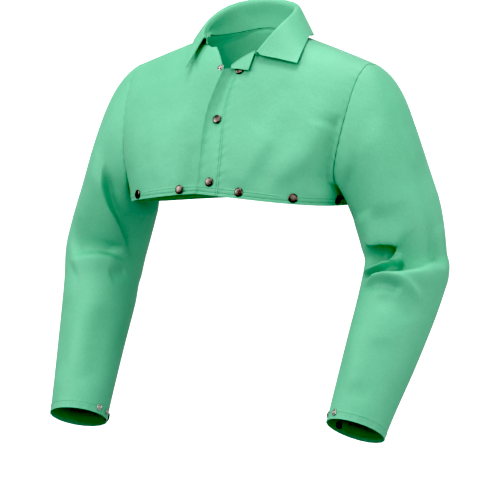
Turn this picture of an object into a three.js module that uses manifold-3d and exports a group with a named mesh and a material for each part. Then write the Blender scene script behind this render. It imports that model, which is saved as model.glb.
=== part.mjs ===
import * as THREE from 'three';
import { mergeVertices } from 'three/addons/utils/BufferGeometryUtils.js';
import Module from 'manifold-3d';

// Welding cape sleeve, in millimetres. +X is the wearer's left, -Y the front and +Z up.
// The origin is the middle of the neck opening at the height where the shoulder seams meet the collar.

// Cloth walls and the gaps kept between sewn pieces
const CLOTH = 1.6;
const COLLAR_CLOTH = 2.2;
const SEAM_GAP = 0.4;

// Shoulder ridge: the top line of both shoulders, rounded over the neck
const RIDGE_PEAK = 34;
const RIDGE_SLOPE = 0.35;
const RIDGE_ROUND = 38;

// Body form: sections from the shoulder ridge (level 0) to just under the hem (level 1)
const FORM_DROP = 300;
const SECTION_POWER = 3;
const BODY_SECTIONS = [
  { level: 0.0, halfWidth: 262, front: 4, back: 4, side: 4, slope: 1.0 },
  { level: 0.1, halfWidth: 261, front: -14, back: 56, side: 4, slope: 1.0 },
  { level: 0.2, halfWidth: 260, front: -32, back: 64, side: 3, slope: 0.97 },
  { level: 0.4, halfWidth: 254, front: -66, back: 82, side: 0, slope: 0.8 },
  { level: 0.6, halfWidth: 247, front: -101, back: 97, side: -4, slope: 0.45 },
  { level: 0.8, halfWidth: 230, front: -136, back: 106, side: -12, slope: 0.12 },
  { level: 1.0, halfWidth: 196, front: -158, back: 102, side: -24, slope: 0.0 },
];

// Neck seam, shoulder tip, armhole and hem on that form
const NECK_HALF = 82;
const NECK_BACK_LEVEL = 0.115;
const ARM_ANGLE = THREE.MathUtils.degToRad(63.5);
const ARM_SIDE_POWER = 0.35;
const ARM_DROP_POWER = 0.7;
const UNDERARM_LEVEL = 0.9;
const HEM_LEVEL = 0.936;
const HEM_SIDE_DROP = 0.032;
const HEM_POWER = 1.1;
const HEM_PEAK = THREE.MathUtils.degToRad(-5);
const BACK_HEM_LEVEL = 0.955;
const SIDE = Math.PI / 2;

// Front edges: the left front laps over the right one
const UNDERLAP = 5.2;
const UNDERLAP_START = -75;
const UNDERLAP_FULL = -28;
const LEFT_EDGE = [
  { v: 0.0, x: -2, level: 0.49 },
  { v: 0.2, x: -12, level: 0.59 },
  { v: 0.4, x: -19, level: 0.68 },
  { v: 0.7, x: -20, level: 0.815 },
  { v: 1.0, x: -20, level: 0.938 },
];
const LEFT_NECK = [
  { u: 0.0, x: -2, level: 0.49 },
  { u: 0.25, x: 20, level: 0.43 },
  { u: 0.5, x: 45, level: 0.355 },
  { u: 0.75, x: 70, level: 0.24 },
  { u: 1.0, x: 82, level: 0.0 },
];
const RIGHT_EDGE = [
  { v: 0.0, x: -45, level: 0.3 },
  { v: 0.2, x: -22, level: 0.43 },
  { v: 0.4, x: 4, level: 0.57 },
  { v: 0.6, x: 18, level: 0.7 },
  { v: 1.0, x: 20, level: 0.938 },
];
const RIGHT_NECK = [
  { u: 0.0, x: -45, level: 0.3 },
  { u: 0.35, x: -58, level: 0.285 },
  { u: 0.7, x: -74, level: 0.2 },
  { u: 1.0, x: -82, level: 0.0 },
];
const NECK_SHARE = 0.38;
const ARM_SHARE = 0.84;

// Sleeve: centre line and half widths of the sections below the armpit, for the left arm
const CAP_SHARE = 0.34;
const LEFT_SLEEVE = [
  { along: 0, x: 281, y: 6, z: -290, outer: 78, inner: 64, front: 79, back: 78, power: 2.5 },
  { along: 48, x: 299, y: 6, z: -335, outer: 75, inner: 71, front: 75, back: 75, power: 2.3 },
  { along: 92, x: 309, y: 3, z: -378, outer: 73, inner: 71, front: 73, back: 74, power: 2.2 },
  { along: 150, x: 306, y: -18, z: -434, outer: 71, inner: 69, front: 69, back: 71, power: 2.1 },
  { along: 261, x: 296, y: -68, z: -533, outer: 64, inner: 63, front: 63, back: 65, power: 2.0 },
  { along: 352, x: 286, y: -110, z: -615, outer: 56, inner: 55, front: 56, back: 56, power: 2.0 },
  { along: 404, x: 281, y: -134, z: -662, outer: 52, inner: 51, front: 51, back: 52, power: 2.0 },
];
const RIGHT_SLEEVE = [
  { along: 0, x: 280, y: 5, z: -290, outer: 68, inner: 64, front: 76, back: 74, power: 2.5 },
  { along: 48, x: 297, y: 5, z: -335, outer: 70, inner: 70, front: 73, back: 72, power: 2.3 },
  { along: 92, x: 307, y: 1, z: -378, outer: 71, inner: 70, front: 71, back: 72, power: 2.2 },
  { along: 150, x: 303, y: -20, z: -434, outer: 67, inner: 67, front: 67, back: 69, power: 2.1 },
  { along: 261, x: 292, y: -71, z: -533, outer: 60, inner: 60, front: 60, back: 61, power: 2.0 },
  { along: 352, x: 283, y: -112, z: -615, outer: 54, inner: 54, front: 54, back: 54, power: 2.0 },
  { along: 404, x: 279, y: -134, z: -664, outer: 51, inner: 51, front: 51, back: 51, power: 2.0 },
];
const SLEEVE_LENGTH = 404;
const CAP_TOP = new THREE.Vector3(1, 0, -0.5);
const CAP_UNDER = new THREE.Vector3(0.6, 0, -0.8);
const CAP_FORWARD = 0.2;
const CAP_PULL = 0.95;
const SLEEVE_START = 1.4;

// Sleeve folds: each runs from one place to another, along the tube in mm and around it in degrees
// (0 outside, 90 front), with its half width and its depth (minus is a hollow)
const FOLD_RADIUS = 70;
const LEFT_FOLDS = [
  { fromAlong: 45, fromAround: 120, toAlong: 80, toAround: 86, width: 13, depth: -12 },
  { fromAlong: 84, fromAround: 76, toAlong: 136, toAround: 132, width: 13, depth: 8 },
  { fromAlong: 150, fromAround: 118, toAlong: 88, toAround: 20, width: 11, depth: -8 },
  { fromAlong: 170, fromAround: 122, toAlong: 112, toAround: 20, width: 14, depth: 5 },
];
const RIGHT_FOLDS = [
  { fromAlong: -35, fromAround: 103, toAlong: 112, toAround: 162, width: 12, depth: -8 },
  { fromAlong: 106, fromAround: 66, toAlong: 98, toAround: 140, width: 13, depth: -7 },
  { fromAlong: 134, fromAround: 66, toAlong: 122, toAround: 140, width: 16, depth: 5 },
];

// Collar: seam, roll and outer edge from the right front end round the neck to the left one
const COLLAR_ROLL = 4.5;
const COLLAR_LIFT = 0.8;
const COLLAR_SIDE = 0.2;
const COLLAR_END = 0.5;
const COLLAR_SECTIONS = [
  { turn: 0.0, rollX: -71, rollY: -43, rollZ: 6, edgeX: -82, edgeY: -85, edgeZ: -42 },
  { turn: 0.12, rollX: -86, rollY: -21, rollZ: 19, edgeX: -93, edgeY: -50, edgeZ: -9 },
  { turn: 0.24, rollX: -87, rollY: 9, rollZ: 42, edgeX: -110, edgeY: 5, edgeZ: 15 },
  { turn: 0.38, rollX: -63, rollY: 42, rollZ: 66, edgeX: -86, edgeY: 66, edgeZ: 14 },
  { turn: 0.5, rollX: 0, rollY: 50, rollZ: 76, edgeX: 0, edgeY: 88, edgeZ: 14 },
  { turn: 0.62, rollX: 63, rollY: 42, rollZ: 67, edgeX: 84, edgeY: 65, edgeZ: 15 },
  { turn: 0.76, rollX: 84, rollY: 6, rollZ: 51, edgeX: 111, edgeY: 8, edgeZ: 12.5 },
  { turn: 0.88, rollX: 78, rollY: -42, rollZ: 21, edgeX: 124, edgeY: -34, edgeZ: -9 },
  { turn: 1.0, rollX: 52, rollY: -69, rollZ: -20, edgeX: 128, edgeY: -64, edgeZ: -36 },
];

// Lapel corner turned out over the left front
const LAPEL_START = 0.08;
const LAPEL_END = 0.47;
const LAPEL_TIP = { x: 42, level: 0.482 };
const LAPEL_SLIM = { x: 4, level: 0.02 };
const LAPEL_ROOT = 0.015;
const LAPEL_BITE = 1.1;
const LAPEL_LIFT = 7;
const LAPEL_TIP_LIFT = 5.5;

// Snap halves, as radius and height over the outer cloth face or (minus) under the inner one
const POST = 2.2;
const POST_HOLE = 2.7;
const SNAP_CLEAR = 0.3;
const CAP_PROFILE = [
  { radius: 0, face: 'outer', height: 2.6 },
  { radius: 5.6, face: 'outer', height: 2.1 },
  { radius: 8.2, face: 'outer', height: 0.8 },
  { radius: 7.8, face: 'outer', height: SNAP_CLEAR },
  { radius: POST, face: 'outer', height: SNAP_CLEAR },
  { radius: POST, face: 'inner', height: -SNAP_CLEAR },
  { radius: 5.8, face: 'inner', height: -SNAP_CLEAR },
  { radius: 5.8, face: 'inner', height: -1.9 },
  { radius: 3.2, face: 'inner', height: -1.9 },
  { radius: 3.2, face: 'inner', height: -0.7 },
  { radius: 0, face: 'inner', height: -0.7 },
];
const STUD_PROFILE = [
  { radius: 0, face: 'outer', height: 2.0 },
  { radius: 2.2, face: 'outer', height: 1.9 },
  { radius: 2.7, face: 'outer', height: 1.3 },
  { radius: 5.7, face: 'outer', height: 0.7 },
  { radius: 6.0, face: 'outer', height: SNAP_CLEAR },
  { radius: POST, face: 'outer', height: SNAP_CLEAR },
  { radius: POST, face: 'inner', height: -SNAP_CLEAR },
  { radius: 5.2, face: 'inner', height: -SNAP_CLEAR },
  { radius: 5.2, face: 'inner', height: -0.9 },
  { radius: 0, face: 'inner', height: -0.9 },
];
const SEAT_REACH = 8;
const SEAT_RADII = [3.5, 6, 8.2];
const SNAP_SIDES = 9;
const FRONT_SNAPS = [
  { name: 'top', capX: 22, studX: -22, capLevel: 0.478, studLevel: 0.457 },
  { name: 'middle', capX: -1, studX: -1, capLevel: 0.69, studLevel: 0.69 },
  { name: 'bottom', capX: 1, studX: 1, capLevel: 0.9, studLevel: 0.9 },
];
const HEM_SNAP_ANGLES = [-84, -49, -16.5, 17, 49.5, 84];
const HEM_SNAP_RISE = 10;
const CUFF_RISE = 11;
const LEFT_CUFF_SNAPS = [
  { name: 'stud_inner', around: 142, kind: 'stud' },
  { name: 'stud_outer', around: 114, kind: 'stud' },
  { name: 'cap', around: 203, kind: 'cap' },
];
const RIGHT_CUFF_SNAPS = [
  { name: 'stud_inner', around: 191, kind: 'stud' },
  { name: 'stud_outer', around: 163, kind: 'stud' },
  { name: 'cap', around: 226, kind: 'cap' },
];

// Facets of each wall
const FRONT_GRID = { columns: 14, rows: 11 };
const BACK_GRID = { columns: 22, rows: 11 };
const SLEEVE_GRID = { columns: 20, rows: 25 };
const SLEEVE_STEPS = [
  { share: 0, v: 0 },
  { share: 0.28, v: CAP_SHARE },
  { share: 0.36, v: 0.41 },
  { share: 0.8, v: 0.66 },
  { share: 1, v: 1 },
];
const COLLAR_GRID = { columns: 22, rows: 9 };
const LAPEL_GRID = { columns: 6, rows: 3 };

const GREEN = new THREE.MeshStandardMaterial({ color: 0x5fbe8f, roughness: 0.85, metalness: 0 });
const GUNMETAL = new THREE.MeshStandardMaterial({ color: 0x4a4542, roughness: 0.4, metalness: 0.9 });
const STEEL = new THREE.MeshStandardMaterial({ color: 0xb9bab5, roughness: 0.3, metalness: 1 });

const wasm = await Module();
wasm.setup();

// One row read between the rows of a table, all columns on a smooth curve
function tableRow(rows, key, at) {
  const last = rows.length - 1;
  let i = 0;
  while (i < last - 1 && at > rows[i + 1][key]) {
    i += 1;
  }
  const step = rows[i + 1][key] - rows[i][key];
  const f = (at - rows[i][key]) / step;
  const ease = f * f * (3 - 2 * f);
  const read = {};
  for (const column of Object.keys(rows[0])) {
    const rate = (k) => {
      const before = rows[Math.max(k - 1, 0)];
      const after = rows[Math.min(k + 1, last)];
      return (after[column] - before[column]) / (after[key] - before[key]);
    };
    const bow = step * f * (1 - f) * ((1 - f) * rate(i) - f * rate(i + 1));
    read[column] = THREE.MathUtils.lerp(rows[i][column], rows[i + 1][column], ease) + bow;
  }
  return read;
}

function ridgeHeight(x) {
  return RIDGE_PEAK - RIDGE_SLOPE * (Math.hypot(x, RIDGE_ROUND) - RIDGE_ROUND);
}

// A point of the body form: face 'front' or 'back', angle from the middle to the side, level down
function bodyPoint(face, angle, level) {
  const section = tableRow(BODY_SECTIONS, 'level', level);
  const across = Math.sin(angle);
  const bulge = Math.max(1 - Math.abs(across) ** SECTION_POWER, 0) ** (1 / SECTION_POWER);
  const x = section.halfWidth * across;
  const y = section.side + (section[face] - section.side) * bulge;
  const z = section.slope * ridgeHeight(x) - FORM_DROP * level ** 2;
  return new THREE.Vector3(x, y, z);
}

function angleAt(x, level) {
  const section = tableRow(BODY_SECTIONS, 'level', level);
  return Math.asin(THREE.MathUtils.clamp(x / section.halfWidth, -1, 1));
}

// Armhole edge on the form, from the shoulder tip (0) to the underarm (1)
function armholeAt(share) {
  const turn = share * SIDE;
  const level = UNDERARM_LEVEL * Math.sin(turn) ** ARM_DROP_POWER;
  const angle = SIDE - (SIDE - ARM_ANGLE) * Math.max(Math.cos(turn), 0) ** ARM_SIDE_POWER;
  return { angle, level };
}

function hemLevel(angle) {
  return HEM_LEVEL + HEM_SIDE_DROP * Math.abs(Math.sin(angle - HEM_PEAK)) ** HEM_POWER;
}

function sideHemLevel(hand) {
  return hemLevel(hand * SIDE);
}

// Outer edge of a body panel: the armhole, then the short side seam to the hem
function outerEdge(v, hand) {
  if (v < ARM_SHARE) {
    const edge = armholeAt(v / ARM_SHARE);
    return { angle: hand * edge.angle, level: edge.level };
  }
  const f = (v - ARM_SHARE) / (1 - ARM_SHARE);
  return { angle: hand * SIDE, level: THREE.MathUtils.lerp(UNDERARM_LEVEL, sideHemLevel(hand), f) };
}

// Patch between four edges, each given as angle and level
function patch(top, bottom, start, end) {
  return (u, v) => {
    const place = {};
    for (const part of ['angle', 'level']) {
      const across = (1 - v) * top(u)[part] + v * bottom(u)[part];
      const down = (1 - u) * start(v)[part] + u * end(v)[part];
      const upper = (1 - u) * top(0)[part] + u * top(1)[part];
      const lower = (1 - u) * bottom(0)[part] + u * bottom(1)[part];
      place[part] = across + down - (1 - v) * upper - v * lower;
    }
    return place;
  };
}

// Top edge of a front: the neck seam, then the shoulder seam out to the armhole
function frontTop(neck, hand) {
  return (u) => {
    if (u < NECK_SHARE) {
      const row = tableRow(neck, 'u', u / NECK_SHARE);
      return { angle: angleAt(row.x, row.level), level: Math.max(row.level, 0) };
    }
    const f = (u - NECK_SHARE) / (1 - NECK_SHARE);
    const angle = THREE.MathUtils.lerp(angleAt(NECK_HALF, 0), ARM_ANGLE, f);
    return { angle: hand * angle, level: 0 };
  };
}

function frontPlace(neck, edge, hand) {
  const start = (v) => {
    const row = tableRow(edge, 'v', v);
    return { angle: angleAt(row.x, row.level), level: row.level };
  };
  const end = (v) => outerEdge(v, hand);
  const bottom = (u) => {
    const angle = THREE.MathUtils.lerp(start(1).angle, hand * SIDE, u);
    return { angle, level: hemLevel(angle) };
  };
  return patch(frontTop(neck, hand), bottom, start, end);
}

function backTop(u) {
  const limit = ARM_ANGLE;
  const angle = THREE.MathUtils.lerp(-limit, limit, u);
  const x = BODY_SECTIONS[0].halfWidth * Math.sin(angle);
  const share = Math.max(1 - (x / NECK_HALF) ** 2, 0);
  return { angle, level: NECK_BACK_LEVEL * Math.sqrt(share) };
}

function backPlace() {
  const start = (v) => outerEdge(v, -1);
  const end = (v) => outerEdge(v, 1);
  const bottom = (u) => {
    const angle = THREE.MathUtils.lerp(-SIDE, SIDE, u);
    const sides = THREE.MathUtils.lerp(sideHemLevel(-1), sideHemLevel(1), u);
    return { angle, level: THREE.MathUtils.lerp(BACK_HEM_LEVEL, sides, Math.sin(angle) ** 2) };
  };
  return patch(backTop, bottom, start, end);
}

// Outward direction of a surface, from its slopes
function slopeNormal(surface, u, v, hand) {
  const reach = 1e-3;
  const u0 = Math.max(u - reach, 0);
  const u1 = Math.min(u + reach, 1);
  const v0 = Math.max(v - reach, 0);
  const v1 = Math.min(v + reach, 1);
  const across = surface(u1, v).sub(surface(u0, v));
  const down = surface(u, v1).sub(surface(u, v0));
  return across.cross(down).normalize().multiplyScalar(hand);
}

function bodyNormal(face, angle, level) {
  const reach = 1e-3;
  const across = bodyPoint(face, angle + reach, level).sub(bodyPoint(face, angle - reach, level));
  const down = bodyPoint(face, angle, level + reach).sub(bodyPoint(face, angle, level - reach));
  const normal = down.cross(across).normalize();
  return face === 'front' ? normal : normal.negate();
}

// Closed wall of one thickness behind a surface, its free edges drawn in by half the seam gap
function wall(surface, grid, thickness, hand, closed) {
  const { columns, rows } = grid;
  const wide = closed ? columns : columns + 1;
  const outside = [];
  const inside = [];
  for (let j = 0; j <= rows; j += 1) {
    for (let i = 0; i < wide; i += 1) {
      const u = i / columns;
      const v = j / rows;
      const point = surface(u, v);
      const normal = slopeNormal(surface, u, v, hand);
      outside.push(point);
      inside.push(point.clone().addScaledVector(normal, -thickness));
    }
  }
  const at = (i, j) => j * wide + (closed ? i % columns : i);
  for (const side of [outside, inside]) {
    const drawIn = (edge, next) => {
      const step = side[next].clone().sub(side[edge]);
      step.setLength(SEAM_GAP / 2);
      return step;
    };
    const moves = [];
    for (let i = 0; i < wide; i += 1) {
      moves.push([at(i, 0), drawIn(at(i, 0), at(i, 1))]);
      moves.push([at(i, rows), drawIn(at(i, rows), at(i, rows - 1))]);
    }
    for (let j = 0; !closed && j <= rows; j += 1) {
      moves.push([at(0, j), drawIn(at(0, j), at(1, j))]);
      moves.push([at(columns, j), drawIn(at(columns, j), at(columns - 1, j))]);
    }
    for (const [index, step] of moves) {
      side[index].add(step);
    }
  }
  const back = outside.length;
  const faces = [];
  const quad = (a, b, c, d) => {
    if (hand > 0) {
      faces.push(a, b, c, a, c, d);
    } else {
      faces.push(a, c, b, a, d, c);
    }
  };
  for (let j = 0; j < rows; j += 1) {
    for (let i = 0; i < columns; i += 1) {
      const [a, b, c, d] = [at(i, j), at(i + 1, j), at(i + 1, j + 1), at(i, j + 1)];
      quad(a, b, c, d);
      quad(back + d, back + c, back + b, back + a);
    }
  }
  for (let i = 0; i < columns; i += 1) {
    quad(at(i + 1, 0), at(i, 0), back + at(i, 0), back + at(i + 1, 0));
    quad(at(i, rows), at(i + 1, rows), back + at(i + 1, rows), back + at(i, rows));
  }
  for (let j = 0; !closed && j < rows; j += 1) {
    quad(at(0, j), at(0, j + 1), back + at(0, j + 1), back + at(0, j));
    quad(at(columns, j + 1), at(columns, j), back + at(columns, j), back + at(columns, j + 1));
  }
  const geometry = new THREE.BufferGeometry();
  const spots = outside.concat(inside).flatMap((p) => [p.x, p.y, p.z]);
  geometry.setAttribute('position', new THREE.Float32BufferAttribute(spots, 3));
  geometry.setIndex(faces);
  return geometry;
}

function toManifold(geometry) {
  const plain = geometry.clone();
  plain.deleteAttribute('normal');
  plain.deleteAttribute('uv');
  const merged = mergeVertices(plain, 1e-4);
  return new wasm.Manifold(new wasm.Mesh({
    numProp: 3,
    vertProperties: new Float32Array(merged.attributes.position.array),
    triVerts: new Uint32Array(merged.index.array),
  }));
}

function fromManifold(solid) {
  const mesh = solid.getMesh();
  const geometry = new THREE.BufferGeometry();
  geometry.setAttribute('position', new THREE.Float32BufferAttribute(mesh.vertProperties, 3));
  geometry.setIndex(Array.from(mesh.triVerts));
  return geometry;
}

// Turned solid whose axis stands on a point of the cloth along the outward direction
function turned(outline, spot) {
  const geometry = new THREE.LatheGeometry(outline, SNAP_SIDES);
  const spin = new THREE.Quaternion().setFromUnitVectors(new THREE.Vector3(0, 1, 0), spot.outward);
  geometry.applyQuaternion(spin);
  geometry.translate(spot.point.x, spot.point.y, spot.point.z);
  return geometry;
}

// Highest outer and lowest inner height of the cloth around a snap
function seatOf(geometry, spot) {
  const cloth = new THREE.Mesh(geometry, new THREE.MeshStandardMaterial({ side: THREE.DoubleSide }));
  const inward = spot.outward.clone().negate();
  const sideways = new THREE.Vector3(0, 0, 1).cross(spot.outward).normalize();
  const seat = { outer: -SEAT_REACH, inner: SEAT_REACH };
  for (const radius of SEAT_RADII) {
    for (let k = 0; k < 2 * SNAP_SIDES; k += 1) {
      const turn = k * Math.PI / SNAP_SIDES;
      const from = sideways.clone().applyAxisAngle(spot.outward, turn).multiplyScalar(radius);
      from.add(spot.point).addScaledVector(spot.outward, SEAT_REACH);
      const hits = new THREE.Raycaster(from, inward, 0, 2 * SEAT_REACH).intersectObject(cloth);
      for (const hit of hits) {
        seat.outer = Math.max(seat.outer, SEAT_REACH - hit.distance);
        seat.inner = Math.min(seat.inner, SEAT_REACH - hit.distance);
      }
    }
  }
  return seat;
}

function snapHalf(profile, geometry, spot) {
  const seat = seatOf(geometry, spot);
  const outline = profile.map((row) => new THREE.Vector2(row.radius, seat[row.face] + row.height));
  return turned(outline.reverse(), spot);
}

function pierced(geometry, spots) {
  let solid = toManifold(geometry);
  const outline = [[0, -1], [POST_HOLE, -1], [POST_HOLE, 1], [0, 1]];
  const hole = outline.map(([radius, end]) => new THREE.Vector2(radius, end * SEAT_REACH / 2));
  for (const spot of spots) {
    solid = solid.subtract(toManifold(turned(hole, spot)));
  }
  return fromManifold(solid);
}

const group = new THREE.Group();
function add(name, geometry, material) {
  const mesh = new THREE.Mesh(geometry, material);
  mesh.name = name;
  group.add(mesh);
}

// Snap places on the body
function bodySpot(x, level, inset) {
  const angle = angleAt(x, level);
  const outward = bodyNormal('front', angle, level);
  const point = bodyPoint('front', angle, level).addScaledVector(outward, -inset);
  return { point, outward };
}

function underlapShare(x) {
  return THREE.MathUtils.smoothstep(x, UNDERLAP_START, UNDERLAP_FULL);
}

const capSpots = FRONT_SNAPS.map((row) => bodySpot(row.capX, row.capLevel, 0));
const studSpots = FRONT_SNAPS.map((row) => {
  return bodySpot(row.studX, row.studLevel, UNDERLAP * underlapShare(row.studX));
});
const hemSpots = HEM_SNAP_ANGLES.map((degrees) => {
  const angle = THREE.MathUtils.degToRad(degrees);
  const level = Math.sqrt(hemLevel(angle) ** 2 - HEM_SNAP_RISE / FORM_DROP);
  const outward = bodyNormal('front', angle, level);
  return { point: bodyPoint('front', angle, level), outward, hand: Math.sign(degrees) };
});

// Body panels
const leftPlace = frontPlace(LEFT_NECK, LEFT_EDGE, 1);
const leftSurface = (u, v) => {
  const place = leftPlace(u, v);
  return bodyPoint('front', place.angle, place.level);
};
const rightPlace = frontPlace(RIGHT_NECK, RIGHT_EDGE, -1);
const rightSurface = (u, v) => {
  const place = rightPlace(u, v);
  const point = bodyPoint('front', place.angle, place.level);
  const inset = UNDERLAP * underlapShare(point.x);
  return point.addScaledVector(bodyNormal('front', place.angle, place.level), -inset);
};
const backArea = backPlace();
const backSurface = (u, v) => {
  const place = backArea(u, v);
  return bodyPoint('back', place.angle, place.level);
};

// Lapel corner: rooted in the left front at the roll line, folded over and out across its face
function lapelSurface(u, v) {
  const row = tableRow(LEFT_NECK, 'u', THREE.MathUtils.lerp(LAPEL_START, LAPEL_END, u));
  const fold = Math.min(v * LAPEL_GRID.rows, 1);
  const out = Math.max(v - 1 / LAPEL_GRID.rows, 0) / (1 - 1 / LAPEL_GRID.rows);
  const tip = { x: THREE.MathUtils.lerp(row.x + LAPEL_SLIM.x, LAPEL_TIP.x, u) };
  tip.level = THREE.MathUtils.lerp(row.level + LAPEL_SLIM.level, LAPEL_TIP.level, u);
  const x = THREE.MathUtils.lerp(row.x, tip.x, out);
  const level = THREE.MathUtils.lerp(row.level + LAPEL_ROOT * (1 - fold), tip.level, out);
  const angle = angleAt(x, level);
  const lift = THREE.MathUtils.lerp(LAPEL_LIFT, LAPEL_TIP_LIFT, out);
  const rise = THREE.MathUtils.lerp(-LAPEL_BITE, lift, fold);
  return bodyPoint('front', angle, level).addScaledVector(bodyNormal('front', angle, level), rise);
}

const leftFront = wall(leftSurface, FRONT_GRID, CLOTH, -1, false);
const rightFront = wall(rightSurface, FRONT_GRID, CLOTH, 1, false);
const lapel = wall(lapelSurface, LAPEL_GRID, CLOTH, -1, false);
const leftHem = hemSpots.filter((spot) => spot.hand > 0);
const rightHem = hemSpots.filter((spot) => spot.hand < 0);
const leftPierced = pierced(leftFront, capSpots.concat(leftHem));
add('front_left', fromManifold(toManifold(leftPierced).add(toManifold(lapel))), GREEN);
add('front_right', pierced(rightFront, studSpots.concat(rightHem)), GREEN);
add('back_panel', wall(backSurface, BACK_GRID, CLOTH, 1, false), GREEN);

// Sleeves, worked out for the left arm and mirrored for the right one
function armholePoint(around) {
  const turn = around / Math.PI;
  const face = turn <= 1 ? 'front' : 'back';
  const edge = armholeAt(turn <= 1 ? turn : 2 - turn);
  return bodyPoint(face, edge.angle, edge.level);
}

function sleeveRing(sections, along, around) {
  const row = tableRow(sections, 'along', along);
  const before = tableRow(sections, 'along', along - 1);
  const centre = new THREE.Vector3(row.x, row.y, row.z);
  const axis = centre.clone().sub(new THREE.Vector3(before.x, before.y, before.z)).normalize();
  const outer = new THREE.Vector3(1, 0, 0);
  outer.addScaledVector(axis, -outer.dot(axis)).normalize();
  const front = axis.clone().cross(outer);
  const c = Math.cos(around);
  const s = Math.sin(around);
  const across = c > 0 ? row.outer : row.inner;
  const deep = s > 0 ? row.front : row.back;
  const size = (Math.abs(c) ** row.power + Math.abs(s) ** row.power) ** (-1 / row.power);
  const point = centre.clone();
  point.addScaledVector(outer, across * c * size).addScaledVector(front, deep * s * size);
  return { point, axis };
}

function sleeveAlong(v) {
  return SLEEVE_LENGTH * (v - CAP_SHARE) / (1 - CAP_SHARE);
}

function sleeveBase(sections, u, v) {
  const around = u * 2 * Math.PI;
  if (v >= CAP_SHARE) {
    return sleeveRing(sections, sleeveAlong(v), around).point;
  }
  const ring = sleeveRing(sections, 0, around);
  const under = (1 - Math.cos(around)) / 2;
  const leave = CAP_TOP.clone().lerp(CAP_UNDER, under);
  leave.y -= CAP_FORWARD * Math.sin(around);
  leave.normalize();
  const start = armholePoint(around).addScaledVector(leave, SLEEVE_START);
  const pull = CAP_PULL * start.distanceTo(ring.point);
  const f = v / CAP_SHARE;
  const ease = f * f * (3 - 2 * f);
  const point = start.clone().lerp(ring.point, ease);
  point.addScaledVector(leave, pull * f * (1 - f) ** 2);
  return point.addScaledVector(ring.axis, -pull * f * f * (1 - f));
}

function foldDepth(folds, u, v) {
  let depth = 0;
  for (const fold of folds) {
    const middle = (fold.fromAround + fold.toAround) / 720;
    const turn = middle + (u - middle) - Math.round(u - middle);
    const spot = new THREE.Vector2(turn * 2 * Math.PI * FOLD_RADIUS, sleeveAlong(v));
    const from = new THREE.Vector2(fold.fromAround / 180 * Math.PI * FOLD_RADIUS, fold.fromAlong);
    const line = new THREE.Vector2(fold.toAround / 180 * Math.PI * FOLD_RADIUS, fold.toAlong).sub(from);
    const f = THREE.MathUtils.clamp(spot.clone().sub(from).dot(line) / line.lengthSq(), 0, 1);
    const off = spot.distanceTo(from.addScaledVector(line, f));
    depth += fold.depth * Math.exp(-((off / fold.width) ** 2));
  }
  return depth;
}

// Rows of facets stand closer together at the elbow
function stepped(surface) {
  return (u, v) => {
    let i = 1;
    while (i < SLEEVE_STEPS.length - 1 && v > SLEEVE_STEPS[i].share) {
      i += 1;
    }
    const before = SLEEVE_STEPS[i - 1];
    const after = SLEEVE_STEPS[i];
    return surface(u, THREE.MathUtils.mapLinear(v, before.share, after.share, before.v, after.v));
  };
}

function sleeveSurface(sections, folds) {
  const base = (u, v) => sleeveBase(sections, u, v);
  return (u, v) => {
    const normal = slopeNormal(base, u, v, 1);
    return base(u, v).addScaledVector(normal, foldDepth(folds, u, v));
  };
}

function mirrored(geometry) {
  const copy = geometry.clone();
  copy.scale(-1, 1, 1);
  const index = Array.from(copy.index.array);
  for (let i = 0; i < index.length; i += 3) {
    [index[i + 1], index[i + 2]] = [index[i + 2], index[i + 1]];
  }
  copy.setIndex(index);
  return copy;
}

function addSleeve(side, sections, folds, snaps) {
  const surface = sleeveSurface(sections, folds);
  const spots = snaps.map((row) => {
    const u = row.around / 360;
    const v = 1 - CUFF_RISE * (1 - CAP_SHARE) / SLEEVE_LENGTH;
    return { row, point: surface(u, v), outward: slopeNormal(surface, u, v, 1) };
  });
  const place = (geometry) => (side === 'left' ? geometry : mirrored(geometry));
  const tube = wall(stepped(surface), SLEEVE_GRID, CLOTH, 1, true);
  add(`sleeve_${side}`, place(pierced(tube, spots)), GREEN);
  for (const spot of spots) {
    const stud = spot.row.kind === 'stud';
    const half = snapHalf(stud ? STUD_PROFILE : CAP_PROFILE, tube, spot);
    add(`cuff_${side}_${spot.row.name}`, place(half), stud ? STEEL : GUNMETAL);
  }
}
addSleeve('left', LEFT_SLEEVE, LEFT_FOLDS, LEFT_CUFF_SNAPS);
addSleeve('right', RIGHT_SLEEVE, RIGHT_FOLDS, RIGHT_CUFF_SNAPS);

// Neck seam under the collar: along the right front, across the back and along the left front
function neckSeam(turn) {
  let face = 'front';
  let place;
  if (turn < COLLAR_SIDE) {
    place = tableRow(RIGHT_NECK, 'u', THREE.MathUtils.lerp(COLLAR_END, 1, turn / COLLAR_SIDE));
  } else if (turn > 1 - COLLAR_SIDE) {
    place = tableRow(LEFT_NECK, 'u', THREE.MathUtils.lerp(COLLAR_END, 1, (1 - turn) / COLLAR_SIDE));
  } else {
    const across = Math.PI * (turn - COLLAR_SIDE) / (1 - 2 * COLLAR_SIDE);
    face = 'back';
    place = { x: -NECK_HALF * Math.cos(across), level: NECK_BACK_LEVEL * Math.sin(across) };
  }
  const level = Math.max(place.level, 0);
  const angle = angleAt(place.x, level);
  const outward = bodyNormal(face, angle, Math.max(level, 0.01));
  return bodyPoint(face, angle, level).addScaledVector(outward, COLLAR_LIFT);
}

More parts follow.
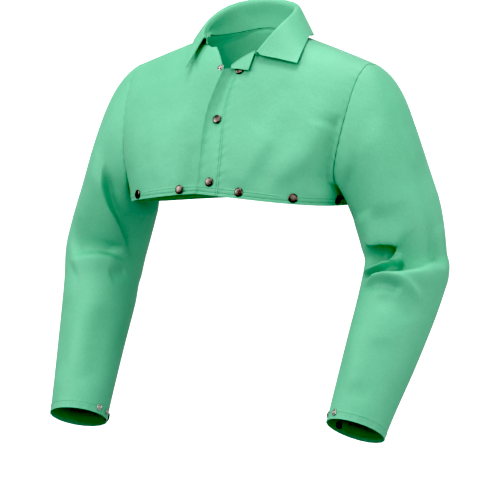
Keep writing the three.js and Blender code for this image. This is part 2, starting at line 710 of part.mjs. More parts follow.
// Collar: each section runs up the stand, over the roll and down the fall
function collarSurface(u, v) {
  const row = tableRow(COLLAR_SECTIONS, 'turn', u);
  const seam = neckSeam(u);
  const roll = new THREE.Vector3(row.rollX, row.rollY, row.rollZ);
  const edge = new THREE.Vector3(row.edgeX, row.edgeY, row.edgeZ);
  const out = edge.clone().sub(seam).setZ(0).setLength(COLLAR_ROLL);
  const top = roll.clone();
  top.z += COLLAR_ROLL;
  const path = new THREE.CatmullRomCurve3([
    seam,
    seam.clone().lerp(roll, 0.5),
    roll.clone().sub(out),
    top,
    roll.clone().add(out),
    roll.clone().lerp(edge, 0.5).addScaledVector(out, 0.6),
    edge,
  ]);
  return path.getPointAt(v);
}
add('collar', wall(collarSurface, COLLAR_GRID, COLLAR_CLOTH, -1, false), GREEN);

// Snap halves on the fronts and along the hem
FRONT_SNAPS.forEach((row, i) => {
  add(`front_cap_${row.name}`, snapHalf(CAP_PROFILE, leftFront, capSpots[i]), GUNMETAL);
  add(`front_stud_${row.name}`, snapHalf(STUD_PROFILE, rightFront, studSpots[i]), STEEL);
});
hemSpots.forEach((spot, i) => {
  const cloth = spot.hand > 0 ? leftFront : rightFront;
  add(`hem_cap_${i + 1}`, snapHalf(CAP_PROFILE, cloth, spot), GUNMETAL);
});

export default group;
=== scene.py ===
# %% [markdown]
# # A welding cape sleeve
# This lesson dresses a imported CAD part: a cropped cotton jacket with long sleeves, held up by its neck.
# The CAD solids are thin faceted walls. Here each wall is made again as a fine sheet of cloth with its
# folds, hems and stitches, in the same place, and the plain solid is hidden behind it.

import math

import bpy
import numpy as np
from mathutils import Matrix, Vector


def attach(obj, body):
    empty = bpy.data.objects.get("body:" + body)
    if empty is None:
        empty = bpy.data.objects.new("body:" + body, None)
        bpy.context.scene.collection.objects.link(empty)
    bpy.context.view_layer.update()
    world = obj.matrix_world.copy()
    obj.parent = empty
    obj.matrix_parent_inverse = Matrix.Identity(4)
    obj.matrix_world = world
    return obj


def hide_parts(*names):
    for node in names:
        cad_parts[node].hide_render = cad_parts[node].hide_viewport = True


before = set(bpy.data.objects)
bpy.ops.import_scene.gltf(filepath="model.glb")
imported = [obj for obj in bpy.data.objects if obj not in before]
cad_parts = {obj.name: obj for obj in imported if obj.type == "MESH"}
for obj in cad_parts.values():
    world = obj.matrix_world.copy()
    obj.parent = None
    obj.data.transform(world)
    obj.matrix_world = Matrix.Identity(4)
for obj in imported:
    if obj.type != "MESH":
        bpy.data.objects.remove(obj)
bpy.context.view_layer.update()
scene = bpy.context.scene
print("CAD nodes:", len(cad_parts))

# %% [markdown]
# ## Smooth tables
# A garment is drafted from a few measured sections. This helper reads any place between two rows of a
# table on a smooth curve. The same rule shaped the CAD walls, so the fine sheets land on them. All drafting
# is done in millimetres.

# %% Smooth tables
def read_table(columns, rows, at):
    """Each column of the table, read at the places `at` of its first column."""
    data = np.array(rows, float)
    keys = data[:, 0]
    at = np.asarray(at, float)
    last = len(keys) - 1
    i = np.searchsorted(keys[1:-1], at, side="left")
    step = keys[i + 1] - keys[i]
    f = (at - keys[i]) / step
    ease = f * f * (3 - 2 * f)
    before = np.maximum(np.arange(last + 1) - 1, 0)
    after = np.minimum(np.arange(last + 1) + 1, last)
    found = {}
    for k, name in enumerate(columns):
        c = data[:, k]
        rate = (c[after] - c[before]) / (keys[after] - keys[before])
        bow = step * f * (1 - f) * ((1 - f) * rate[i] - f * rate[i + 1])
        found[name] = c[i] + (c[i + 1] - c[i]) * ease + bow
    return found


def unit(v):
    return v / np.maximum(np.linalg.norm(v, axis=-1, keepdims=True), 1e-12)


def smooth(low, high, x):
    t = np.clip((x - low) / (high - low), 0, 1)
    return t * t * (3 - 2 * t)


# %% [markdown]
# ## The form of the body
# The short body hangs from the shoulder ridge. Each section below it is a rounded rectangle with its own
# width, front and back. `level` runs from 0 at the ridge to 1 just under the hem.

# %% Body form
RIDGE_PEAK, RIDGE_SLOPE, RIDGE_ROUND = 34, 0.35, 38
FORM_DROP = 300
SECTION_POWER = 3
BODY_COLUMNS = ("level", "half_width", "front", "back", "side", "slope")
BODY_SECTIONS = [
    (0.0, 262, 4, 4, 4, 1.0),
    (0.1, 261, -14, 56, 4, 1.0),
    (0.2, 260, -32, 64, 3, 0.97),
    (0.4, 254, -66, 82, 0, 0.8),
    (0.6, 247, -101, 97, -4, 0.45),
    (0.8, 230, -136, 106, -12, 0.12),
    (1.0, 196, -158, 102, -24, 0.0),
]


def body_point(face, angle, level):
    """A point of the form: face 'front' or 'back', angle from the middle to the side, level down."""
    row = read_table(BODY_COLUMNS, BODY_SECTIONS, level)
    across = np.sin(angle)
    bulge = np.maximum(1 - np.abs(across) ** SECTION_POWER, 0) ** (1 / SECTION_POWER)
    x = row["half_width"] * across
    y = row["side"] + (row[face] - row["side"]) * bulge
    ridge = RIDGE_PEAK - RIDGE_SLOPE * (np.hypot(x, RIDGE_ROUND) - RIDGE_ROUND)
    z = row["slope"] * ridge - FORM_DROP * np.asarray(level) ** 2
    return np.stack([x, y, z], -1)


def angle_at(x, level):
    row = read_table(BODY_COLUMNS, BODY_SECTIONS, level)
    return np.arcsin(np.clip(x / row["half_width"], -1, 1))


def body_normal(face, angle, level):
    reach = 1e-3
    across = body_point(face, angle + reach, level) - body_point(face, angle - reach, level)
    down = body_point(face, angle, level + reach) - body_point(face, angle, level - reach)
    normal = unit(np.cross(down, across))
    return normal if face == "front" else -normal


# %% [markdown]
# ## Pattern pieces on the form
# A tailor cuts flat panels and sews their edges together. Each panel here is a patch between four edge
# lines on the form: the neck and shoulder on top, the hem below, the front edge on one side and the
# armhole with the short side seam on the other.

# %% Edges and patches
SIDE = math.pi / 2
NECK_HALF, NECK_BACK_LEVEL = 82, 0.115
ARM_ANGLE = math.radians(63.5)
ARM_SIDE_POWER, ARM_DROP_POWER, UNDERARM_LEVEL = 0.35, 0.7, 0.9
HEM_LEVEL, HEM_SIDE_DROP, HEM_POWER = 0.936, 0.032, 1.1
HEM_PEAK, BACK_HEM_LEVEL = math.radians(-5), 0.955
NECK_SHARE, ARM_SHARE, ARM_REACH, DROP_EASE = 0.38, 0.84, 3, 2.4
EDGE_COLUMNS = ("at", "x", "level")
LEFT_EDGE = [(0.0, -2, 0.49), (0.2, -12, 0.59), (0.4, -19, 0.68), (0.7, -20, 0.815), (1.0, -20, 0.938)]
LEFT_NECK = [(0.0, -2, 0.49), (0.25, 20, 0.43), (0.5, 45, 0.355), (0.75, 70, 0.24), (1.0, 82, 0.0)]
RIGHT_EDGE = [(0.0, -45, 0.3), (0.2, -22, 0.43), (0.4, 4, 0.57), (0.6, 18, 0.7), (1.0, 20, 0.938)]
RIGHT_NECK = [(0.0, -45, 0.3), (0.35, -58, 0.285), (0.7, -74, 0.2), (1.0, -82, 0.0)]


def hem_level(angle):
    return HEM_LEVEL + HEM_SIDE_DROP * np.abs(np.sin(angle - HEM_PEAK)) ** HEM_POWER


def armhole_at(share):
    turn = np.clip(share, 0, 1) * SIDE
    level = UNDERARM_LEVEL * np.sin(turn) ** ARM_DROP_POWER
    angle = SIDE - (SIDE - ARM_ANGLE) * np.maximum(np.cos(turn), 0) ** ARM_SIDE_POWER
    return angle, level


def outer_edge(v, hand):
    angle, level = armhole_at(v / ARM_SHARE)
    f = np.clip((v - ARM_SHARE) / (1 - ARM_SHARE), 0, 1)
    side_level = UNDERARM_LEVEL + (hem_level(hand * SIDE) - UNDERARM_LEVEL) * f
    on_arm = v < ARM_SHARE
    return np.where(on_arm, hand * angle, hand * SIDE), np.where(on_arm, level, side_level)


def line_at(rows, at):
    row = read_table(EDGE_COLUMNS, rows, at)
    level = np.maximum(row["level"], 0)
    return angle_at(row["x"], level), level


def front_top(neck, hand, u):
    neck_angle, neck_level = line_at(neck, np.clip(u / NECK_SHARE, 0, 1))
    f = np.clip((u - NECK_SHARE) / (1 - NECK_SHARE), 0, 1)
    start = angle_at(NECK_HALF, 0.0)
    on_neck = u < NECK_SHARE
    shoulder_angle = hand * (start + (ARM_ANGLE - start) * f)
    return np.where(on_neck, neck_angle, shoulder_angle), np.where(on_neck, neck_level, 0)


def row_drop(v):
    """How far down the panel a row lies, so that rows keep level with the armhole beside them."""
    return 1 - (1 - v) ** DROP_EASE


def patch(u, v, top, bottom, start, end, start_reach):
    """Angle and level between four edge lines, each a function that gives both."""
    zero, one = np.zeros(1), np.ones(1)
    drop = row_drop(v)
    place = []
    for part in (0, 1):
        across = (1 - drop) * top(u)[part] + drop * bottom(u)[part]
        start_bow = start(v)[part] - (1 - drop) * top(zero)[part] - drop * bottom(zero)[part]
        end_bow = end(v)[part] - (1 - drop) * top(one)[part] - drop * bottom(one)[part]
        place.append(across + (1 - u) ** start_reach * start_bow + u ** ARM_REACH * end_bow)
    return place


def front_place(neck, edge, hand, u, v):
    start_hem = line_at(edge, np.ones(1))[0]

    def bottom(at):
        angle = start_hem + (hand * SIDE - start_hem) * at
        return angle, hem_level(angle)

    return patch(u, v, lambda at: front_top(neck, hand, at), bottom,
                 lambda at: line_at(edge, row_drop(at)), lambda at: outer_edge(at, hand), 1)


def back_place(u, v):
    def top(at):
        angle = -ARM_ANGLE + 2 * ARM_ANGLE * at
        x = BODY_SECTIONS[0][1] * np.sin(angle)
        return angle, NECK_BACK_LEVEL * np.sqrt(np.maximum(1 - (x / NECK_HALF) ** 2, 0))

    def bottom(at):
        angle = -SIDE + 2 * SIDE * at
        sides = hem_level(-SIDE) + (hem_level(SIDE) - hem_level(-SIDE)) * at
        return angle, BACK_HEM_LEVEL + (sides - BACK_HEM_LEVEL) * np.sin(angle) ** 2

    return patch(u, v, top, bottom, lambda at: outer_edge(at, -1), lambda at: outer_edge(at, 1), ARM_REACH)


# %% [markdown]
# ## Folds as brush strokes
# Folds could come from a cloth simulation, but then they fall where the solver likes. To match a photograph
# each fold is drawn instead, as a stroke on the cloth with a depth and a softness on either side of it.
# A narrow side gives the crisp edge of a crease, and a wide side a soft slope.

# %% Strokes
STROKE_STEPS, STROKE_FADE = 28, 0.22


def stroke_path(points):
    rows = [(k, *p) for k, p in enumerate(points)]
    read = read_table(("k", "a", "b"), rows, np.linspace(0, len(points) - 1, STROKE_STEPS))
    return np.stack([read["a"], read["b"]], -1)


def stroke_depth(strokes, a, b):
    """Depth in mm of all strokes at the places (a, b), which are mm on the cloth."""
    total = np.zeros_like(a)
    for depth, before, after, points in strokes:
        path = stroke_path(points)
        best = np.full(a.shape, 1e9)
        side = np.zeros_like(a)
        share = np.zeros_like(a)
        for k in range(len(path) - 1):
            start, line = path[k], path[k + 1] - path[k]
            f = np.clip(((a - start[0]) * line[0] + (b - start[1]) * line[1]) / (line @ line), 0, 1)
            da, db = a - start[0] - f * line[0], b - start[1] - f * line[1]
            off = np.hypot(da, db)
            near = off < best
            best = np.where(near, off, best)
            side = np.where(near, line[0] * db - line[1] * da, side)
            share = np.where(near, (k + f) / (len(path) - 1), share)
        width = np.where(side > 0, after, before)
        fade = smooth(0, STROKE_FADE, share) * smooth(0, STROKE_FADE, 1 - share)
        total += depth * fade * np.exp(-((best / width) ** 2))
    return total


# %% [markdown]
# ## Sheets of cloth
# A grid primitive is the flat cloth. Its vertices are moved to the drafted places, row by row, its UV map
# is stretched to the cloth's own size so that the weave keeps its scale, and Solidify gives the thickness.

# %% Sheets
CLOTH, SMOOTH_ANGLE = 1.6, math.radians(72)
made = {}


def edit_all():
    bpy.ops.object.mode_set(mode="EDIT")
    bpy.ops.mesh.select_all(action="SELECT")


def grid_normals(points, closed, outward):
    if closed:
        ring = np.concatenate([points[:, -2:-1], points, points[:, 1:2]], 1)
        across = ring[:, 2:] - ring[:, :-2]
    else:
        across = np.gradient(points, axis=1)
    return unit(np.cross(across, np.gradient(points, axis=0))) * outward


def run_length(points, axis, weight=1):
    """Length along the cloth from the first row or column, in mm, with a weight for each step."""
    step = np.linalg.norm(np.diff(points, axis=axis), axis=-1) * weight
    start = np.zeros_like(np.take(step, [0], axis=axis))
    return np.concatenate([start, np.cumsum(step, axis=axis)], axis=axis)


def from_bottom(points):
    return run_length(points[::-1], 0)[::-1]


def along_line(at, run, line):
    """Points of a line at the lengths `at`, where `run` is the length up to each of its points."""
    return np.stack([np.interp(at, run, line[:, k]) for k in range(line.shape[1])], -1)


def cloth_sheet(name, points, outward, closed=False, thickness=CLOTH):
    rows, columns = points.shape[0] - 1, points.shape[1] - 1
    bpy.ops.mesh.primitive_grid_add(x_subdivisions=columns, y_subdivisions=rows, size=1)
    piece = bpy.context.object
    piece.name = piece.data.name = name
    flat = np.zeros(len(piece.data.vertices) * 3, np.float32)
    piece.data.vertices.foreach_get("co", flat)
    flat = flat.reshape(-1, 3)
    i = np.rint((flat[:, 0] + 0.5) * columns).astype(int)
    j = np.rint((0.5 - flat[:, 1]) * rows).astype(int)
    place = (points[j, i] / 1000).astype(np.float32)
    piece.data.vertices.foreach_set("co", place.ravel())
    wide = run_length(points, 1)[:, -1].mean() / 1000
    long = run_length(points, 0)[-1].mean() / 1000
    layer = piece.data.uv_layers.active.data
    uv = np.zeros(len(layer) * 2, np.float32)
    layer.foreach_get("uv", uv)
    layer.foreach_set("uv", (uv.reshape(-1, 2) * (wide, long)).astype(np.float32).ravel())
    edit_all()
    if closed:
        bpy.ops.mesh.remove_doubles(threshold=1e-6)
    if outward > 0:
        bpy.ops.mesh.flip_normals()
    bpy.ops.object.mode_set(mode="OBJECT")
    wall = piece.modifiers.new("wall", "SOLIDIFY")
    wall.thickness = thickness / 1000
    wall.offset = -1
    bpy.ops.object.modifier_apply(modifier="wall")
    bpy.ops.object.shade_smooth_by_angle(angle=SMOOTH_ANGLE)
    made[name] = piece
    print(f"{name}: {len(piece.data.polygons)} faces, cloth about {wide * 1000:.0f} by {long * 1000:.0f} mm")


# %% [markdown]
# ## Hems and seams
# A hem is the cloth turned in twice and sewn, so it stands a little proud and its stitch rows pull a groove.
# Seams pucker: the thread is shorter than the cloth. Both are worked into the height of the sheet.

# %% Sewn relief
HEM_DEPTH, HEM_HEIGHT, HEM_STEP, HEM_ROWS = 14.5, 0.7, 1.2, (5.5, 12.5)
GROOVE_DEPTH, GROOVE_WIDTH = 0.45, 1.3
SECOND_WAVE, SECOND_PITCH, SECOND_START = 0.6, 1.62, 1.3


def stitch_groove(edge_mm, row):
    return GROOVE_DEPTH * np.exp(-(((edge_mm - row) / GROOVE_WIDTH) ** 2))


def hem_relief(edge_mm):
    height = HEM_HEIGHT * (1 - smooth(HEM_DEPTH - HEM_STEP, HEM_DEPTH + HEM_STEP, edge_mm))
    for row in HEM_ROWS:
        height = height - stitch_groove(edge_mm, row)
    return height


def pucker(edge_mm, along_mm, depth, reach, pitch):
    """Two waves along a seam, which fade out with the distance from it."""
    turn = along_mm * 2 * math.pi
    wave = np.sin(turn / pitch) + SECOND_WAVE * np.sin(turn / (pitch * SECOND_PITCH) + SECOND_START)
    return depth * wave * np.exp(-((edge_mm / reach) ** 2))


def share_steps(rows, marks):
    """Places from 0 to 1, closer together where the marks (at, place) ask for it."""
    at, place = zip(*marks)
    return np.interp(np.linspace(0, 1, rows + 1), at, place)


# %% [markdown]
# ## Fronts and back
# The left front laps over the right one by a snap edge that is folded under and sewn down, so it has a
# raised band with two stitch rows, and its free edge curls forward, most near the open top snap. Soft drag
# lines run from the chest to the armhole and to the hem. A pucker is (depth, reach, pitch) in millimetres.

# %% Body panels
UNDERLAP, UNDERLAP_START, UNDERLAP_FULL = 5.2, -75, -28
PLACKET, PLACKET_HEIGHT, PLACKET_STEP, PLACKET_ROWS = 40, 0.8, 2.5, (36.5, 40.5)
CURL_EASE, CURL_FROM, CURL_TO, CURL_HEIGHT, CURL_REACH = 0.72, 0.3, 0.8, 9.0, 9
DIP_DEPTH, DIP_AT, DIP_REACH = 2.6, 20, 10
RIM_HEIGHT, RIM_CURL, RIM_REACH = 1.6, 1.4, 2.2
HEM_PUCKER, ARM_PUCKER = (0.22, 12, 17), (0.3, 9, 15)
PLACKET_PUCKER, EDGE_PUCKER = (0.25, 10, 16), (0.25, 10, 21)
HEM_CALM, ARM_CALM, ARM_PUCKER_END = 22, 14, 0.1
FRONT_COLUMNS, FRONT_ROWS, BACK_COLUMNS = 150, 180, 200
ROW_MARKS, FRONT_MARKS = [(0, 0), (0.62, 0.72), (1, 1)], [(0, 0), (0.3, 0.14), (1, 1)]
EVEN_MARKS = [(0, 0), (1, 1)]
CHEST_DRAGS = [
    (2.6, 16, 26, [(118, 150), (82, 205), (52, 258)]),
    (-2.4, 24, 20, [(150, 120), (118, 190), (100, 262)]),
    (-2.0, 20, 22, [(130, 62), (92, 112), (64, 150)]),
    (1.8, 22, 22, [(196, 96), (160, 150), (150, 230)]),
    (-1.6, 18, 18, [(40, 100), (30, 160), (28, 225)]),
    (2.0, 24, 26, [(-60, 110), (-96, 180), (-120, 250)]),
    (-1.8, 22, 22, [(-118, 84), (-150, 150), (-160, 240)]),
    (-1.4, 16, 16, [(-40, 170), (-36, 220), (-34, 268)]),
    (1.6, 20, 20, [(-190, 110), (-176, 170), (-182, 235)]),
    (-10, 14, 20, [(222, 120), (215, 170), (208, 215), (196, 268)]),
    (5.5, 16, 28, [(206, 136), (196, 161), (166, 205), (111, 250)]),
]
BACK_DRAGS = [
    (2.4, 24, 28, [(-170, 120), (-110, 180), (-60, 260)]),
    (2.4, 24, 28, [(170, 120), (112, 186), (70, 262)]),
    (-2.4, 26, 26, [(-120, 70), (-70, 130), (-30, 230)]),
    (-2.0, 26, 26, [(128, 76), (70, 140), (40, 240)]),
    (1.8, 22, 26, [(-60, 60), (0, 84), (60, 62)]),
]


def panel_grid(columns, marks):
    """Places over a panel: rows gather at the hem, columns where the marks ask for it."""
    return np.meshgrid(share_steps(columns, marks), share_steps(FRONT_ROWS, ROW_MARKS))


def panel_relief(points, strokes, to_arm):
    """Height of a panel's folds, its hem and the hem's puckers, in mm."""
    to_hem = from_bottom(points)
    height = stroke_depth(strokes, points[..., 0], -points[..., 2])
    height = height * smooth(0, HEM_CALM, to_hem) * smooth(0, ARM_CALM, to_arm)
    return height + hem_relief(to_hem) + pucker(to_hem, run_length(points, 1), *HEM_PUCKER)


def underlap(x):
    """How far the right front lies under the left one, in mm."""
    return UNDERLAP * smooth(UNDERLAP_START, UNDERLAP_FULL, x)


def front_sheet(name, neck, edge, hand):
    u, v = panel_grid(FRONT_COLUMNS, FRONT_MARKS)
    angle, level = front_place(neck, edge, hand, u, v)
    points = body_point("front", angle, level)
    from_edge, down = run_length(points, 1), run_length(points, 0)
    to_arm = from_edge[:, -1:] - from_edge
    height = panel_relief(points, CHEST_DRAGS, to_arm)
    beside_arm = 1 - smooth(ARM_SHARE - ARM_PUCKER_END, ARM_SHARE, v)
    height = height + pucker(to_arm, down, *ARM_PUCKER) * beside_arm
    if hand > 0:
        band = 1 - smooth(PLACKET, PLACKET + PLACKET_STEP, from_edge)
        height = height + PLACKET_HEIGHT * band + pucker(from_edge - PLACKET, down, *PLACKET_PUCKER)
        for row in PLACKET_ROWS:
            height = height - stitch_groove(from_edge, row)
        height = height + pucker(from_edge, down, *EDGE_PUCKER)
        curl = 1 - CURL_EASE * smooth(CURL_FROM, CURL_TO, row_drop(v))
        lift = CURL_HEIGHT * np.exp(-from_edge / CURL_REACH)
        dip = DIP_DEPTH * np.exp(-(((from_edge - DIP_AT) / DIP_REACH) ** 2))
        height = height + curl * (lift - dip)
        height = height + (RIM_HEIGHT + RIM_CURL * curl) * np.exp(-from_edge / RIM_REACH)
    else:
        height = height - underlap(points[..., 0])
    points = points + body_normal("front", angle, level) * height[..., None]
    cloth_sheet(name, points, -hand)
    return points


left_points = front_sheet("cloth_front_left", LEFT_NECK, LEFT_EDGE, 1)
right_points = front_sheet("cloth_front_right", RIGHT_NECK, RIGHT_EDGE, -1)

back_angle, back_level = back_place(*panel_grid(BACK_COLUMNS, EVEN_MARKS))
back_points = body_point("back", back_angle, back_level)
back_run = run_length(back_points, 1)
back_height = panel_relief(back_points, BACK_DRAGS, np.minimum(back_run, back_run[:, -1:] - back_run))
back_points = back_points + body_normal("back", back_angle, back_level) * back_height[..., None]
cloth_sheet("cloth_back", back_points, 1)

# %% [markdown]
# ## The turned-out lapel corner
# With the top snap open, the upper corner of the left front falls outward along a roll line. It is a small
# flap of the same cloth, so it is drafted on the same form: rooted at the roll line, lifted and laid out.

# %% Lapel
LAPEL_START, LAPEL_END = 0.09, 0.49
LAPEL_TIP_X, LAPEL_TIP_LEVEL = 42, 0.482
LAPEL_SLIM_X, LAPEL_SLIM_LEVEL = 3, 0.012
LAPEL_LIFT, LAPEL_TIP_LIFT, LAPEL_SAG = 5.0, 6.0, 0.022
LAPEL_FOLD, LAPEL_TUCK, LAPEL_CLEAR = 0.3, 0.006, 0.4
LAPEL_ACROSS, LAPEL_DOWN = 40, 30

u, v = np.meshgrid(np.linspace(0, 1, LAPEL_ACROSS + 1), np.linspace(0, 1, LAPEL_DOWN + 1))
row = read_table(EDGE_COLUMNS, LEFT_NECK, LAPEL_START + (LAPEL_END - LAPEL_START) * u)
fold = np.clip(v / LAPEL_FOLD, 0, 1)
out = np.clip((v - LAPEL_FOLD) / (1 - LAPEL_FOLD), 0, 1)
tip_x = (row["x"] + LAPEL_SLIM_X) * (1 - u) + LAPEL_TIP_X * u
tip_level = (row["level"] + LAPEL_SLIM_LEVEL) * (1 - u) + LAPEL_TIP_LEVEL * u
tip_level = tip_level + LAPEL_SAG * np.sin(math.pi * u)
x = row["x"] + (tip_x - row["x"]) * out
roll = np.sin(math.pi * fold / 2)
level = row["level"] + (tip_level - row["level"]) * out - LAPEL_TUCK * roll * (1 - out)
angle = angle_at(x, level)
lift = LAPEL_LIFT * roll * (1 - out) + LAPEL_TIP_LIFT * out + LAPEL_CLEAR
lapel_points = body_point("front", angle, level) + body_normal("front", angle, level) * lift[..., None]
cloth_sheet("cloth_lapel", lapel_points, -1)

# %% [markdown]
# ## The sleeves
# Each sleeve is a tube: it leaves the armhole, turns down over the shoulder and follows the bent arm.
# The sections are drafted for the left arm; the right sleeve has its own table and is mirrored.

# %% Sleeve form
SLEEVE_COLUMNS = ("along", "x", "y", "z", "outer", "inner", "front", "back", "power")
LEFT_SLEEVE = [
    (0, 281, 6, -290, 78, 64, 79, 78, 2.5),
    (48, 299, 6, -335, 75, 71, 75, 75, 2.3),
    (92, 309, 3, -378, 73, 71, 73, 74, 2.2),
    (150, 306, -18, -434, 71, 69, 69, 71, 2.1),
    (261, 296, -68, -533, 64, 63, 63, 65, 2.0),
    (352, 286, -110, -615, 56, 55, 56, 56, 2.0),
    (404, 281, -134, -662, 52, 51, 51, 52, 2.0),
]
RIGHT_SLEEVE = [
    (0, 280, 5, -290, 68, 64, 76, 74, 2.5),
    (48, 297, 5, -335, 70, 70, 73, 72, 2.3),
    (92, 307, 1, -378, 71, 70, 71, 72, 2.2),
    (150, 303, -20, -434, 67, 67, 67, 69, 2.1),
    (261, 292, -71, -533, 60, 60, 60, 61, 2.0),
    (352, 283, -112, -615, 54, 54, 54, 54, 2.0),
    (404, 279, -134, -664, 51, 51, 51, 51, 2.0),
]
SLEEVE_LENGTH, CAP_SHARE = 404, 0.34
CAP_TOP, CAP_UNDER = np.array([1, 0, -0.5]), np.array([0.6, 0, -0.8])
CAP_FORWARD, CAP_PULL, SLEEVE_START = 0.2, 0.95, -2.5
BEND_REACH = 40


def armhole_point(around):
    turn = around / math.pi
    angle, level = armhole_at(np.where(turn <= 1, turn, 2 - turn))
    front = (turn <= 1)[..., None]
    return np.where(front, body_point("front", angle, level), body_point("back", angle, level))


def sleeve_centre(sections, along):
    row = read_table(SLEEVE_COLUMNS, sections, np.clip(along, 0, SLEEVE_LENGTH))
    return np.stack([row["x"], row["y"], row["z"]], -1)


def sleeve_ring(sections, along, around):
    row = read_table(SLEEVE_COLUMNS, sections, along)
    centre = sleeve_centre(sections, along)
    axis = unit(sleeve_centre(sections, along + BEND_REACH) - sleeve_centre(sections, along - BEND_REACH))
    outer = unit(np.array([1.0, 0, 0]) - axis * axis[..., :1])
    front = np.cross(axis, outer)
    c, s = np.cos(around), np.sin(around)
    across = np.where(c > 0, row["outer"], row["inner"])
    deep = np.where(s > 0, row["front"], row["back"])
    power = row["power"]
    size = (np.abs(c) ** power + np.abs(s) ** power) ** (-1 / power)
    return centre + outer * (across * c * size)[..., None] + front * (deep * s * size)[..., None], axis


def sleeve_along(v):
    return SLEEVE_LENGTH * (v - CAP_SHARE) / (1 - CAP_SHARE)


def sleeve_form(sections, u, v):
    around = u * 2 * math.pi
    lower, _ = sleeve_ring(sections, np.maximum(sleeve_along(v), 0), around)
    ring, axis = sleeve_ring(sections, np.zeros_like(v), around)
    leave = CAP_TOP + (CAP_UNDER - CAP_TOP) * ((1 - np.cos(around)) / 2)[..., None]
    leave = unit(leave - np.array([0, 1, 0]) * (CAP_FORWARD * np.sin(around))[..., None])
    start = armhole_point(around) + leave * SLEEVE_START
    pull = (CAP_PULL * np.linalg.norm(start - ring, axis=-1))[..., None]
    f = np.clip(v / CAP_SHARE, 0, 1)[..., None]
    cap = start + (ring - start) * f * f * (3 - 2 * f)
    cap = cap + leave * pull * f * (1 - f) ** 2 - axis * pull * f * f * (1 - f)
    return np.where((v >= CAP_SHARE)[..., None], lower, cap)


# %% [markdown]
# ## Sleeve folds
# The elbow of the wearer's left sleeve holds a deep zigzag: the upper cloth overhangs a pocket, curls back
# as a thin bright ridge, drops into a second hollow and rolls out to the forearm. The other sleeve has one
# long crease from the armpit and a soft arc over the elbow. A place is (degrees around, mm along), and a
# slide is (mm sideways, mm down, softness before and after, path).

# %% Fold tables
FOLD_RADIUS = 70
LEFT_LIP = [(74, 76), (81, 64), (92, 57), (106, 51), (126, 40)]
LEFT_RIDGE = [(76, 86), (84, 103), (93, 111), (105, 122), (119, 132), (140, 142)]
LEFT_ROLL = [(-30, 90), (19, 108), (44, 124), (69, 137), (91, 145), (106, 149), (134, 153)]
LEFT_FOLDS = [
    (9, 36, 6, LEFT_LIP),
    (-25, 11, 30, [(79, 84), (92, 76), (106, 73), (132, 65)]),
    (-18, 28, 11, [(84, 92), (96, 96), (112, 106), (142, 120)]),
    (16, 9, 7, LEFT_RIDGE),
    (-9, 11, 9, [(66, 109), (88, 123), (108, 137), (140, 148)]),
    (-19, 42, 10, [(-12, 86), (14, 96), (42, 109), (68, 121), (94, 132)]),
    (-6, 36, 12, [(-76, 70), (-40, 76), (-10, 86), (26, 99)]),
    (9, 8, 26, LEFT_ROLL),
    (-9, 8, 12, [(56, 164), (72, 160), (89, 160), (107, 164), (140, 170)]),
    (4, 6, 14, [(12, 188), (27, 167), (42, 156), (58, 147), (72, 143), (85, 145), (100, 149), (126, 155)]),
    (-3, 16, 14, [(96, 196), (70, 186), (50, 196), (34, 216)]),
    (-7, 26, 26, [(112, -150), (112, -60), (116, 10)]),
    (5, 28, 28, [(52, -150), (62, -60), (82, 20)]),
    (-3, 26, 26, [(10, -60), (0, 20), (-10, 60)]),
    (3, 22, 22, [(120, 240), (100, 300), (84, 360)]),
    (-3, 24, 24, [(70, 250), (60, 310), (64, 380)]),
]
LEFT_SLIDES = [(0, 6, 16, 7, LEFT_LIP), (0, 2, 9, 7, LEFT_RIDGE), (0, -5, 8, 16, LEFT_ROLL)]
RIGHT_CREASE = [(78, -110), (88, -69), (98, -39), (112, -5), (130, 24), (144, 57), (166, 116)]
RIGHT_FOLDS = [
    (8, 6, 34, RIGHT_CREASE),
    (-10, 34, 7, [(88, -110), (98, -78), (108, -46), (121, -8), (137, 24), (151, 58), (170, 116)]),
    (-11, 44, 14, [(66, 112), (84, 100), (99, 94), (112, 92), (127, 93), (146, 101)]),
    (6.5, 12, 30, [(62, 134), (74, 127), (92, 121), (108, 119), (122, 117), (138, 120), (158, 130)]),
    (-4, 12, 12, [(132, 157), (146, 147), (158, 134)]),
    (3, 24, 24, [(60, -120), (70, -30), (60, 60)]),
    (3, 24, 24, [(110, 200), (100, 280), (110, 360)]),
    (-3, 24, 24, [(140, 200), (134, 290), (140, 370)]),
    (-2.5, 26, 26, [(64, 190), (60, 280), (70, 360)]),
]
RIGHT_SLIDES = [(5, 0, 5, 20, RIGHT_CREASE)]
BACK_ELBOW_FOLDS = [
    (-4, 14, 18, [(250, 90), (290, 78), (330, 86)]),
    (4, 16, 18, [(244, 120), (288, 108), (330, 112)]),
    (-3, 16, 16, [(200, 150), (236, 140), (270, 148)]),
    (-4, 24, 24, [(236, -150), (250, -60), (246, 30)]),
    (3, 26, 26, [(286, -140), (296, -50), (290, 40)]),
    (-3, 26, 26, [(280, 200), (270, 280), (280, 360)]),
]


def fold_height(folds, u, along, centre):
    """Folds on a tube, laid out flat around the angle `centre`."""
    turn = np.mod(u * 360 - centre + 180, 360) + centre - 180
    flat = [(d, b, a, [(math.radians(p) * FOLD_RADIUS, q) for p, q in path]) for d, b, a, path in folds]
    return stroke_depth(flat, np.radians(turn) * FOLD_RADIUS, along)


# %% [markdown]
# ## Sleeve cloth
# The tube is drafted in many rows, pushed in and out by its folds, and slid where a fold overhangs. Then
# the rows are spread again by the length of the cloth, closer at the elbow and the cuff.

